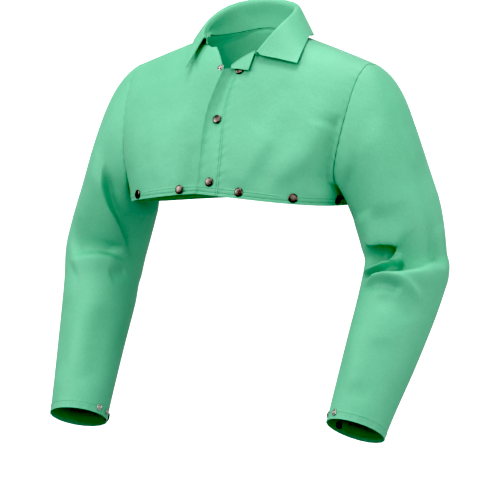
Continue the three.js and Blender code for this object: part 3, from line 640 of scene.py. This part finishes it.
# %% Sleeve cloth
SLEEVE_AROUND, SLEEVE_DOWN, DRAFT_ROWS, ROW_SOFTENING = 236, 200, 700, 40
ELBOW_END, ELBOW_EASE, ELBOW_SHARE = 190, 40, 2.2
CUFF_FROM, CUFF_TO, CUFF_SHARE, CUFF_CALM = 16, 30, 1.2, 24
CUFF_WAVES, SEAM_WAVES = (0.25, 19, 12), (0.3, 31, 9)
TUCK_DEPTH, TUCK_FROM, TUCK_TO = 1.9, 1.5, 6
FRONT_DEGREES, BACK_DEGREES = 90, 270


def even_rows(points, weight, rows):
    """The same columns with fewer rows, spread by the length of the cloth times its weight."""
    run = run_length(points, 0, (weight[1:] + weight[:-1]) / 2)
    line, columns = np.arange(len(points)), range(points.shape[1])
    at = np.stack([np.interp(np.linspace(0, run[-1, i], rows + 1), run[:, i], line) for i in columns], 1)
    for _ in range(ROW_SOFTENING):
        ring = at[:, :-1]
        ring = (np.roll(ring, 1, 1) + 2 * ring + np.roll(ring, -1, 1)) / 4
        at = np.concatenate([ring, ring[:, :1]], 1)
    return np.stack([along_line(at[:, i], line, points[:, i]) for i in columns], 1)


def sleeve_sheet(name, sections, folds, slides, mirror):
    u, v = np.meshgrid(np.linspace(0, 1, SLEEVE_AROUND + 1), np.linspace(0, 1, DRAFT_ROWS + 1))
    points = sleeve_form(sections, np.mod(u, 1), v)
    normals = grid_normals(points, True, 1)
    to_cuff, from_arm, ring = from_bottom(points), run_length(points, 0), run_length(points, 1)
    along = sleeve_along(v)
    height = fold_height(folds, u, along, FRONT_DEGREES)
    height = height + fold_height(BACK_ELBOW_FOLDS, u, along, BACK_DEGREES)
    height = height * smooth(0, CUFF_CALM, to_cuff) * smooth(0, ARM_CALM, from_arm)
    height = height + hem_relief(to_cuff)
    round_wave = 2 * math.pi * ring / ring[:, -1:]
    for (depth, waves, reach), edge in ((CUFF_WAVES, to_cuff), (SEAM_WAVES, from_arm)):
        height = height + depth * np.sin(waves * round_wave) * np.exp(-((edge / reach) ** 2))
    height = height - TUCK_DEPTH * (1 - smooth(TUCK_FROM, TUCK_TO, from_arm))
    across, down = unit(np.gradient(points, axis=1)), unit(np.gradient(points, axis=0))
    points = points + normals * height[..., None]
    for sideways, downward, before, after, path in slides:
        for way, amount in ((across, sideways), (down, downward)):
            slide = fold_height([(amount, before, after, path)], u, along, FRONT_DEGREES)
            points = points + way * slide[..., None]
    weight = ELBOW_SHARE * smooth(-ELBOW_EASE, 0, along) * smooth(-ELBOW_EASE, 0, ELBOW_END - along)
    weight = 1 + weight + CUFF_SHARE * (1 - smooth(CUFF_FROM, CUFF_TO, to_cuff))
    points = even_rows(points, weight, SLEEVE_DOWN)
    if mirror:
        points = points * np.array([-1, 1, 1])
    cloth_sheet(name, points, -1 if mirror else 1, closed=True)
    return points


SLEEVES = {
    "left": (LEFT_SLEEVE, LEFT_FOLDS, LEFT_SLIDES, False),
    "right": (RIGHT_SLEEVE, RIGHT_FOLDS, RIGHT_SLIDES, True),
}
sleeve_points = {side: sleeve_sheet(f"cloth_sleeve_{side}", *draft) for side, draft in SLEEVES.items()}

# %% [markdown]
# ## The collar
# One strip runs from the right front round the neck to the left front. Every section of it climbs from the
# neck seam, turns over at the roll and falls to the outer edge, so three lines describe it all.

# %% Collar form
COLLAR_CLOTH, COLLAR_ROLL, COLLAR_LIFT, COLLAR_SIDE, COLLAR_END = 2.2, 4.5, 0.8, 0.2, 0.5
COLLAR_COLUMNS = ("turn", "rx", "ry", "rz", "ex", "ey", "ez")
COLLAR_SECTIONS = [
    (0.0, -71, -43, 6, -82, -85, -42),
    (0.12, -86, -21, 19, -93, -50, -9),
    (0.24, -87, 9, 42, -110, 5, 15),
    (0.38, -63, 42, 66, -86, 66, 14),
    (0.5, 0, 50, 76, 0, 88, 14),
    (0.62, 63, 42, 67, 84, 65, 15),
    (0.76, 84, 6, 51, 111, 8, 12.5),
    (0.88, 78, -42, 21, 124, -34, -9),
    (1.0, 52, -69, -20, 128, -64, -36),
]
COLLAR_ACROSS, COLLAR_DOWN, CURVE_STEPS, FALL_BOW, RIDGE_CLEAR = 180, 60, 12, 0.6, 0.01


def neck_seam(turn):
    """Where the collar is sewn on."""
    right = line_at(RIGHT_NECK, COLLAR_END + (1 - COLLAR_END) * np.clip(turn / COLLAR_SIDE, 0, 1))
    left = line_at(LEFT_NECK, COLLAR_END + (1 - COLLAR_END) * np.clip((1 - turn) / COLLAR_SIDE, 0, 1))
    across = math.pi * np.clip((turn - COLLAR_SIDE) / (1 - 2 * COLLAR_SIDE), 0, 1)
    back_level = NECK_BACK_LEVEL * np.sin(across)
    back = (angle_at(-NECK_HALF * np.cos(across), back_level), back_level)
    seam = []
    for face, (angle, level) in (("front", right), ("front", left), ("back", back)):
        outward = body_normal(face, angle, np.maximum(level, RIDGE_CLEAR))
        seam.append(body_point(face, angle, level) + COLLAR_LIFT * outward)
    on_right, on_left = (turn < COLLAR_SIDE)[..., None], (turn > 1 - COLLAR_SIDE)[..., None]
    return np.where(on_right, seam[0], np.where(on_left, seam[1], seam[2]))


def collar_path(turn):
    """Seven points of each section: seam, stand, over the roll, fall and edge."""
    row = read_table(COLLAR_COLUMNS, COLLAR_SECTIONS, turn)
    seam = neck_seam(turn)
    roll = np.stack([row["rx"], row["ry"], row["rz"]], -1)
    edge = np.stack([row["ex"], row["ey"], row["ez"]], -1)
    out = (edge - seam) * np.array([1, 1, 0])
    out = unit(out) * COLLAR_ROLL
    top = roll + np.array([0, 0, COLLAR_ROLL])
    return np.stack([seam, (seam + roll) / 2, roll - out, top, roll + out,
                     (roll + edge) / 2 + out * FALL_BOW, edge], 0)


def even_curve(path, count):
    """A centripetal spline through the points of each section, at even steps of length."""
    fine = []
    ends = np.concatenate([2 * path[:1] - path[1:2], path, 2 * path[-1:] - path[-2:-1]], 0)
    for k in range(1, len(ends) - 2):
        p0, p1, p2, p3 = ends[k - 1:k + 3]
        legs = (p1 - p0, p2 - p1, p3 - p2)
        t01, t12, t23 = (np.sqrt(np.linalg.norm(leg, axis=-1, keepdims=True)) for leg in legs)
        m1 = p2 - p1 + t12 * ((p1 - p0) / t01 - (p2 - p0) / (t01 + t12))
        m2 = p2 - p1 + t12 * ((p3 - p2) / t23 - (p3 - p1) / (t12 + t23))
        for f in np.linspace(0, 1, CURVE_STEPS, endpoint=k == len(ends) - 3):
            h = f * f * (3 - 2 * f)
            fine.append(p1 + (p2 - p1) * h + f * (1 - f) ** 2 * m1 - f * f * (1 - f) * m2)
    fine = np.stack(fine, 0)
    length = run_length(fine, 0)
    even = [along_line(np.linspace(0, length[-1, i], count + 1), length[:, i], fine[:, i])
            for i in range(fine.shape[1])]
    return np.stack(even, 1)


collar_turn = np.linspace(0, 1, COLLAR_ACROSS + 1)
collar_points = even_curve(collar_path(collar_turn), COLLAR_DOWN)
cloth_sheet("cloth_collar", collar_points, -1, thickness=COLLAR_CLOTH)

# %% [markdown]
# ## Thread
# A row of machine stitches is hundreds of short loops of thread lying on the cloth. One stitch is modelled
# as a slim six-sided bead, and a row of copies follows a line on the sheet, all joined in one mesh.

# %% One stitch
STITCH_LENGTH, STITCH_PITCH, THREAD_WIDTH, THREAD_HEIGHT, THREAD_LIFT = 2.6, 3.6, 0.95, 0.6, 0.12
bpy.ops.mesh.primitive_uv_sphere_add(segments=6, ring_count=4, radius=0.5)
bead = bpy.context.object
edit_all()
bpy.ops.transform.rotate(value=math.pi / 2, orient_axis="Y", center_override=(0, 0, 0))
bpy.ops.transform.resize(value=(STITCH_LENGTH, THREAD_WIDTH, THREAD_HEIGHT), center_override=(0, 0, 0))
bpy.ops.object.mode_set(mode="OBJECT")
bead_points = np.array([v.co for v in bead.data.vertices])
bead_faces = [list(p.vertices) for p in bead.data.polygons]
bpy.data.objects.remove(bead)
print("one stitch:", len(bead_faces), "faces")


# %% [markdown]
# ## Rows of stitches
# A row keeps its distance from an edge, measured on the cloth, so it climbs over every fold.

# %% Rows of stitches
def sewn_row(points, outward, run, at, closed, span):
    """Places and normals of a row where the length `run` down the columns of a grid reaches `at`."""
    both = np.concatenate([points, grid_normals(points, closed, outward)], -1)
    order = 1 if run[-1].mean() > run[0].mean() else -1
    first, last = (int(round(s * (points.shape[1] - 1))) for s in span)
    return np.stack([along_line(at, run[::order, i], both[::order, i]) for i in range(first, last + 1)])


def thread(name, rows):
    spots, faces = [], []
    for both in rows:
        place, normal = both[:, :3], unit(both[:, 3:])
        length = run_length(place, 0)
        at = np.arange(STITCH_PITCH / 2, length[-1], STITCH_PITCH)
        middle, up = along_line(at, length, place), unit(along_line(at, length, normal))
        run = unit(along_line(at + 0.5, length, place) - along_line(at - 0.5, length, place))
        across = np.cross(up, run)
        for c, r, a, n in zip(middle, run, across, up):
            start = len(spots) * len(bead_points)
            spots.append(c + n * THREAD_LIFT + bead_points @ np.stack([r, a, n]))
            faces.extend([[start + k for k in face] for face in bead_faces])
    mesh = bpy.data.meshes.new(name)
    mesh.from_pydata((np.concatenate(spots) / 1000).tolist(), [], faces)
    piece = bpy.data.objects.new(name, mesh)
    scene.collection.objects.link(piece)
    mesh.shade_smooth()
    made[name] = piece
    print(f"{name}: {len(spots)} stitches")


WHOLE, COLLAR_SPAN, PLACKET_SPAN, LEFT_HEM_SPAN = (0, 1), (0.03, 0.97), (0.02, 0.995), (0.0, 0.99)
COLLAR_ROWS = (3.0, 7.0)
HEMS = [
    ("front_left", left_points, -1, HEM_ROWS, False, LEFT_HEM_SPAN),
    ("front_right", right_points, 1, HEM_ROWS, False, WHOLE),
    ("back", back_points, 1, HEM_ROWS, False, WHOLE),
    ("sleeve_left", sleeve_points["left"], 1, HEM_ROWS[1:], True, WHOLE),
    ("sleeve_right", sleeve_points["right"], -1, HEM_ROWS[1:], True, WHOLE),
]
threads = {}
for name, points, outward, rows, closed, span in HEMS:
    threads[name] = [sewn_row(points, outward, from_bottom(points), at, closed, span) for at in rows]
edge_grid = left_points.transpose(1, 0, 2)
edge_run, collar_run = run_length(edge_grid, 0), run_length(collar_points, 0)
threads["front_left"] += [sewn_row(edge_grid, 1, edge_run, at, False, PLACKET_SPAN) for at in PLACKET_ROWS]
threads["collar"] = [sewn_row(collar_points, -1, collar_run, at, False, COLLAR_SPAN) for at in COLLAR_ROWS]
for name, rows in threads.items():
    thread(f"thread_{name}", rows)

# %% [markdown]
# ## Snaps
# A snap half is a turned piece. By hand it is made from a circle: extrude the rim, resize it, move it, and
# repeat down the profile. Each kind is modelled once, standing on the origin, and copied to its places.

# %% Turned halves
SNAP_SIDES, CAP_CROWN = 36, 2.75
CAP_START, STUD_START = (4.5, 2.52), (1.6, 0.9)
CAP_PROFILE = [
    (6.3, 2.25), (7.4, 1.85), (8.0, 1.3), (8.2, 0.8), (7.9, 0.4), (7.1, 0.3), (2.2, 0.3), (2.2, -1.9),
    (5.5, -1.9), (5.8, -2.2), (5.8, -3.2), (5.5, -3.5), (3.5, -3.5), (3.2, -3.2), (3.2, -2.3),
]
STUD_PROFILE = [
    (1.9, 2.0), (2.4, 2.05), (2.75, 1.75), (2.7, 1.3), (2.3, 0.85), (3.4, 0.75), (4.6, 1.0), (5.4, 0.95),
    (5.95, 0.6), (5.9, 0.3), (2.2, 0.3), (2.2, -1.9), (5.0, -1.9), (5.2, -2.1), (5.0, -2.5), (4.0, -2.6),
]


def turned_half(name, start, profile):
    bpy.ops.mesh.primitive_circle_add(vertices=SNAP_SIDES, radius=start[0] / 1000, fill_type="TRIFAN")
    half = bpy.context.object
    half.name = half.data.name = name
    edit_all()
    bpy.ops.transform.translate(value=(0, 0, start[1] / 1000))
    bpy.ops.mesh.region_to_loop()
    radius, height = start
    for next_radius, next_height in profile:
        climb = (0, 0, (next_height - height) / 1000)
        bpy.ops.mesh.extrude_edges_move(TRANSFORM_OT_translate={"value": climb})
        share = next_radius / radius
        bpy.ops.transform.resize(value=(share, share, 1), center_override=(0, 0, 0))
        radius, height = next_radius, next_height
    bpy.ops.mesh.edge_face_add()
    bpy.ops.mesh.select_all(action="SELECT")
    bpy.ops.mesh.normals_make_consistent(inside=False)
    bpy.ops.object.mode_set(mode="OBJECT")
    print(f"{name}: {len(half.data.polygons)} faces")
    return half


cap_master = turned_half("cap_master", CAP_START, CAP_PROFILE)
stud_master = turned_half("stud_master", STUD_START, STUD_PROFILE)
middle = [v for v in cap_master.data.vertices if v.co.x ** 2 + v.co.y ** 2 < 1e-9 and v.co.z > 0]
middle[0].co.z = CAP_CROWN / 1000

# %% [markdown]
# ## Places of the snaps
# The front snaps sit on the snap edge, six caps in a row above the hem, and three halves on each cuff.
# Every copy points straight out of the cloth that carries it.

# %% Places of the snaps
FRONT_SNAPS = [
    ("cap_top", 22, 0.478), ("stud_top", -22, 0.457), ("cap_middle", -1, 0.69),
    ("stud_middle", -1, 0.69), ("cap_bottom", 1, 0.9), ("stud_bottom", 1, 0.9),
]
HEM_SNAP_ANGLES, HEM_SNAP_RISE, CUFF_RISE = (-84, -49, -16.5, 17, 49.5, 84), 10, 11
CUFFS = {
    "left": [("stud_inner", 142), ("stud_outer", 114), ("cap", 203)],
    "right": [("stud_inner", 191), ("stud_outer", 163), ("cap", 226)],
}
CAP_LIFT, HEM_LIFT, CUFF_LIFT, PROBE = 0.75, 0.7, 0.8, 1e-3


def snap_at(name, node, master, place, outward, rise):
    """A copy of a turned half, standing on the cloth."""
    piece = master.copy()
    piece.data = master.data.copy()
    piece.name = piece.data.name = name
    scene.collection.objects.link(piece)
    turn = Vector((0, 0, 1)).rotation_difference(Vector(outward)).to_matrix().to_4x4()
    spot = (np.asarray(place) + np.asarray(outward) * rise) / 1000
    piece.data.transform(Matrix.Translation(spot.tolist()) @ turn)
    piece.data.shade_smooth()
    made[name] = piece
    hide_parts(node)


def front_spot(angle, level):
    return body_point("front", angle, level), body_normal("front", angle, level)


for kind, x, level in FRONT_SNAPS:
    master, rise = (cap_master, CAP_LIFT) if "cap" in kind else (stud_master, -underlap(x))
    place, outward = front_spot(angle_at(x, level), level)
    snap_at(f"snap_front_{kind}", f"front_{kind}", master, place, outward, rise)
for k, degrees in enumerate(HEM_SNAP_ANGLES):
    angle = math.radians(degrees)
    level = math.sqrt(float(hem_level(angle)) ** 2 - HEM_SNAP_RISE / FORM_DROP)
    place, outward = front_spot(angle, level)
    rise = HEM_LIFT - (underlap(place[0]) if degrees < 0 else 0)
    snap_at(f"snap_hem_{k + 1}", f"hem_cap_{k + 1}", cap_master, place, outward, rise)
for side, snaps in CUFFS.items():
    sections, _, _, mirror = SLEEVES[side]
    flip = np.array([-1 if mirror else 1, 1, 1])
    for kind, around in snaps:
        u0 = around / 360
        v0 = 1 - CUFF_RISE * (1 - CAP_SHARE) / SLEEVE_LENGTH
        spots = [sleeve_form(sections, np.array([u0 + du]), np.array([v0 + dv]))[0]
                 for du, dv in ((0, 0), (-PROBE, 0), (PROBE, 0), (0, -PROBE), (0, PROBE))]
        outward = unit(np.cross(spots[2] - spots[1], spots[4] - spots[3])) * flip
        master = cap_master if kind == "cap" else stud_master
        name = f"cuff_{side}_{kind}"
        snap_at(f"snap_{name}", name, master, spots[0] * flip, outward, CUFF_LIFT)
for master in (cap_master, stud_master):
    bpy.data.objects.remove(master)
print("snap halves:", sum(name.startswith("snap_") for name in made))

# %% [markdown]
# ## The cotton
# The cloth is cotton sateen, dyed sea green: a close twill weave, a slightly uneven dye and a soft sheen
# where light grazes it. The weave is drawn from the UV map, which is in metres of cloth, so a thread has the
# same size on every piece. Noise in Object coordinates makes the dye uneven.

# %% Cotton material
SHEEN_TINT = (0.85, 1.0, 0.93, 1)
TWILL_SCALE, TWILL_TURN = (1700, 1700, 1700), (0, 0, math.radians(45))
SLUB_SHARE, ROUGHNESS_SPREAD, NODE_STEP = 0.4, 0.06, 200


def blank_material(name):
    material = bpy.data.materials.new(name)
    material.use_nodes = True
    return material, material.node_tree, material.node_tree.nodes["Principled BSDF"]


def set_sockets(at, **sockets):
    for name, value in sockets.items():
        at.inputs[name.replace("_", " ")].default_value = value


def node(tree, kind, **sockets):
    new = tree.nodes.new(kind)
    new.location = (-NODE_STEP * len(tree.nodes), 0)
    set_sockets(new, **sockets)
    return new


def noise(tree, where, scale, detail, roughness):
    new = node(tree, "ShaderNodeTexNoise", Scale=scale, Detail=detail, Roughness=roughness)
    tree.links.new(where.outputs["Object"], new.inputs["Vector"])
    return new.outputs["Fac"]


def uneven_finish(tree, shader, colour_by, stops, rough_by, low, high):
    """Colour between two stops (place, colour), and roughness from low to high."""
    link = tree.links.new
    ramp = node(tree, "ShaderNodeValToRGB")
    for stop, (place, colour) in zip(ramp.color_ramp.elements, stops):
        stop.position, stop.color = place, (*colour, 1)
    link(colour_by, ramp.inputs["Fac"])
    link(ramp.outputs["Color"], shader.inputs["Base Color"])
    rough = node(tree, "ShaderNodeMapRange", To_Min=low, To_Max=high)
    link(rough_by, rough.inputs["Value"])
    link(rough.outputs["Result"], shader.inputs["Roughness"])


def bumps(tree, shader, layers):
    """Bumps (height, strength, distance in metres), each laid over the one before it."""
    normal = None
    for height, strength, distance in layers:
        bump = node(tree, "ShaderNodeBump", Strength=strength, Distance=distance)
        tree.links.new(height, bump.inputs["Height"])
        if normal is not None:
            tree.links.new(normal, bump.inputs["Normal"])
        normal = bump.outputs["Normal"]
    tree.links.new(normal, shader.inputs["Normal"])


def cotton(name, deep, pale, roughness):
    material, tree, shader = blank_material(name)
    link = tree.links.new
    set_sockets(shader, Sheen_Weight=0.15, Sheen_Roughness=0.4, Sheen_Tint=SHEEN_TINT, Specular_IOR_Level=0.8)
    where = node(tree, "ShaderNodeTexCoord")
    dye = noise(tree, where, 9.0, 4.0, 0.55)
    slub = noise(tree, where, 330.0, 2.0, 0.6)
    rumple = noise(tree, where, 70.0, 3.0, 0.5)
    both = node(tree, "ShaderNodeMix", Factor=SLUB_SHARE)
    link(dye, both.inputs["A"])
    link(slub, both.inputs["B"])
    uneven_finish(tree, shader, both.outputs["Result"], [(0.36, deep), (0.64, pale)],
                  slub, roughness - ROUGHNESS_SPREAD, roughness + ROUGHNESS_SPREAD)
    turn = node(tree, "ShaderNodeMapping", Rotation=TWILL_TURN, Scale=TWILL_SCALE)
    link(where.outputs["UV"], turn.inputs["Vector"])
    twill = node(tree, "ShaderNodeTexWave", Scale=1.0, Distortion=1.2, Detail=1.0)
    link(turn.outputs["Vector"], twill.inputs["Vector"])
    bumps(tree, shader, [(twill.outputs["Fac"], 0.18, 0.0002), (slub, 0.2, 0.0006), (rumple, 0.22, 0.0025)])
    return material


sea_green = cotton("sea_green_cotton", (0.15, 0.47, 0.29), (0.18, 0.54, 0.345), 0.62)
green_thread = cotton("green_thread", (0.05, 0.3, 0.15), (0.065, 0.35, 0.185), 0.55)

# %% [markdown]
# ## The snaps' metal
# The caps are steel with a dark antique finish that wears paler in spots. The studs are bright. Both get an
# uneven roughness, so their highlights break up as on handled metal.

# %% Metal materials
def metal(name, dark, bright, low, high):
    material, tree, shader = blank_material(name)
    set_sockets(shader, Metallic=1.0)
    wear = noise(tree, node(tree, "ShaderNodeTexCoord"), 420.0, 4.0, 0.6)
    uneven_finish(tree, shader, wear, [(0.35, dark), (0.7, bright)], wear, low, high)
    bumps(tree, shader, [(wear, 0.08, 0.0002)])
    return material


antique = metal("antique_cap", (0.12, 0.1, 0.092), (0.21, 0.18, 0.165), 0.26, 0.4)
bright_steel = metal("bright_stud", (0.42, 0.42, 0.39), (0.62, 0.62, 0.58), 0.2, 0.34)

# %% [markdown]
# ## Putting the pieces on the frame
# Each sheet stands for its CAD wall, which it hides, and every piece takes its finish and rides on the one
# body there is.

# %% Ride and replace
SHEETS = [
    ("front_left", (0.275, 0.325), 0.072, "hung", ["collar", "back"]),
    ("front_right", (0.275, 0.325), 0.073, "hung", ["collar", "back"]),
    ("back", (0.54, 0.33), 0.158, "hung", ["front_left", "front_right"]),
    ("sleeve_left", (0.50, 0.66), 0.27, "hung", ["front_left", "back"]),
    ("sleeve_right", (0.48, 0.66), 0.26, "hung", ["front_right", "back"]),
    ("collar", (0.46, 0.12), 0.05, "folded", ["back"]),
]
CAD_NAMES, FLAPS = {"back": "back_panel"}, {"front_left": ["cloth_lapel"]}
for name, flat, area, held, rests in SHEETS:
    piece = made[f"cloth_{name}"]
    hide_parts(CAD_NAMES.get(name, name))
for name, piece in made.items():
    finish, slot = sea_green, "cloth"
    if name.startswith("thread_"):
        finish = green_thread
    elif name.startswith("snap_"):
        finish, slot = (bright_steel, "stud") if "stud" in name else (antique, "cap")
    piece.data.materials.clear()
    piece.data.materials.append(finish)
    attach(piece, "root")
print("pieces on the frame:", len(made))

# %% [markdown]
# ## Floor and room
# A pale floor lies well below the part, which is held up by its neck, and a pale room closes the view.
# Both glow, but only for the camera.

# %% Floor and room
FLOOR_SIZE, FLOOR_HEIGHT, ROOM_RADIUS = 60, -1.1, 28
PALE_GREY, WHITE = (0.9, 0.9, 0.9, 1), (1, 1, 1, 1)


def pale(name):
    material, _, shader = blank_material(name)
    set_sockets(shader, Base_Color=PALE_GREY, Roughness=0.9, Emission_Color=WHITE, Emission_Strength=1.0)
    return material


bpy.ops.mesh.primitive_plane_add(size=FLOOR_SIZE, location=(0, 0, FLOOR_HEIGHT))
floor = bpy.context.object
floor.name = "floor"
bpy.ops.mesh.primitive_uv_sphere_add(segments=48, ring_count=24, radius=ROOM_RADIUS)
room = bpy.context.object
room.name = "room"
bpy.ops.object.shade_smooth()
for thing in (floor, room):
    thing.data.materials.append(pale(thing.name))
    thing.visible_diffuse = thing.visible_glossy = thing.visible_shadow = False
    thing.visible_transmission = False

# %% [markdown]
# ## Camera
# The camera stands thirty degrees round to the wearer's left. Its lens follows from the scale of the
# picture, and its aim from the pixel in which the neck opening is to lie.

# %% Camera
AZIMUTH, ELEVATION = math.radians(30), math.radians(2.5)
CAMERA_DISTANCE, MM_PER_PIXEL, IMAGE_SIDE, SENSOR = 6.0, 1.77, 500, 36
ORIGIN_PIXEL = (251.5, 44.0)
to_right = Vector((math.cos(AZIMUTH), math.sin(AZIMUTH), 0))
level_share = math.cos(ELEVATION)
to_camera = Vector((math.sin(AZIMUTH) * level_share, -math.cos(AZIMUTH) * level_share, math.sin(ELEVATION)))
to_up = to_camera.cross(to_right)
target = to_right * (IMAGE_SIDE / 2 - ORIGIN_PIXEL[0]) * MM_PER_PIXEL / 1000
target -= to_up * (IMAGE_SIDE / 2 - ORIGIN_PIXEL[1]) * MM_PER_PIXEL / 1000
lens = bpy.data.cameras.new("camera")
lens.sensor_width = SENSOR
lens.lens = SENSOR * CAMERA_DISTANCE / (IMAGE_SIDE * MM_PER_PIXEL / 1000)
lens.clip_end = 100
camera = bpy.data.objects.new("camera", lens)
scene.collection.objects.link(camera)
camera_turn = Matrix((to_right, to_up, to_camera)).transposed().to_4x4()
camera.matrix_world = Matrix.Translation(target + to_camera * CAMERA_DISTANCE) @ camera_turn
scene.camera = camera
print("lens", round(lens.lens, 1), "mm")

# %% [markdown]
# ## Light
# Large soft lamps stand on both sides, above and in front, and a small one in the neck lifts the inside of
# the back. A lamp's place is metres to the right, up and towards the camera. The picture's black level is
# set a little above zero, so the folds read well.

# %% Light
LAMPS = [
    ("left", (-3.4, 1.4, 1.0), 1.4, 50),
    ("key", (-1.9, 2.6, 2.4), 1.4, 26),
    ("right", (3.2, 0.2, 1.8), 2.0, 44),
    ("top", (0.0, 3.7, 0.4), 1.6, 80),
    ("front", (0.2, 0.6, 3.8), 1.6, 22),
]
NECK_LAMP, NECK_AIM = Vector((0, -0.04, -0.1)), Vector((0, 0.075, 0))
NECK_SIZE, NECK_WATTS = 0.1, 0.1
ROOM_LIGHT, BLACK_LEVEL = 0.48, 0.1


def soft_lamp(name, place, aim, size, watts):
    lamp = bpy.data.lights.new(name, "AREA")
    lamp.size, lamp.energy = size, watts
    thing = bpy.data.objects.new(name, lamp)
    scene.collection.objects.link(thing)
    thing.location = place
    thing.rotation_euler = (aim - place).to_track_quat("-Z", "Y").to_euler()
    return thing


for name, (right, up, near), size, watts in LAMPS:
    soft_lamp(name, target + to_right * right + to_up * up + to_camera * near, target, size, watts)
soft_lamp("neck", NECK_LAMP, NECK_AIM, NECK_SIZE, NECK_WATTS).visible_camera = False
world = bpy.data.worlds.new("room_light")
world.use_nodes = True
set_sockets(world.node_tree.nodes["Background"], Color=WHITE, Strength=ROOM_LIGHT)
scene.world = world
picture = scene.view_settings
picture.view_transform = "Standard"
picture.use_curve_mapping = True
picture.curve_mapping.black_level = (BLACK_LEVEL, BLACK_LEVEL, BLACK_LEVEL)
picture.curve_mapping.update()
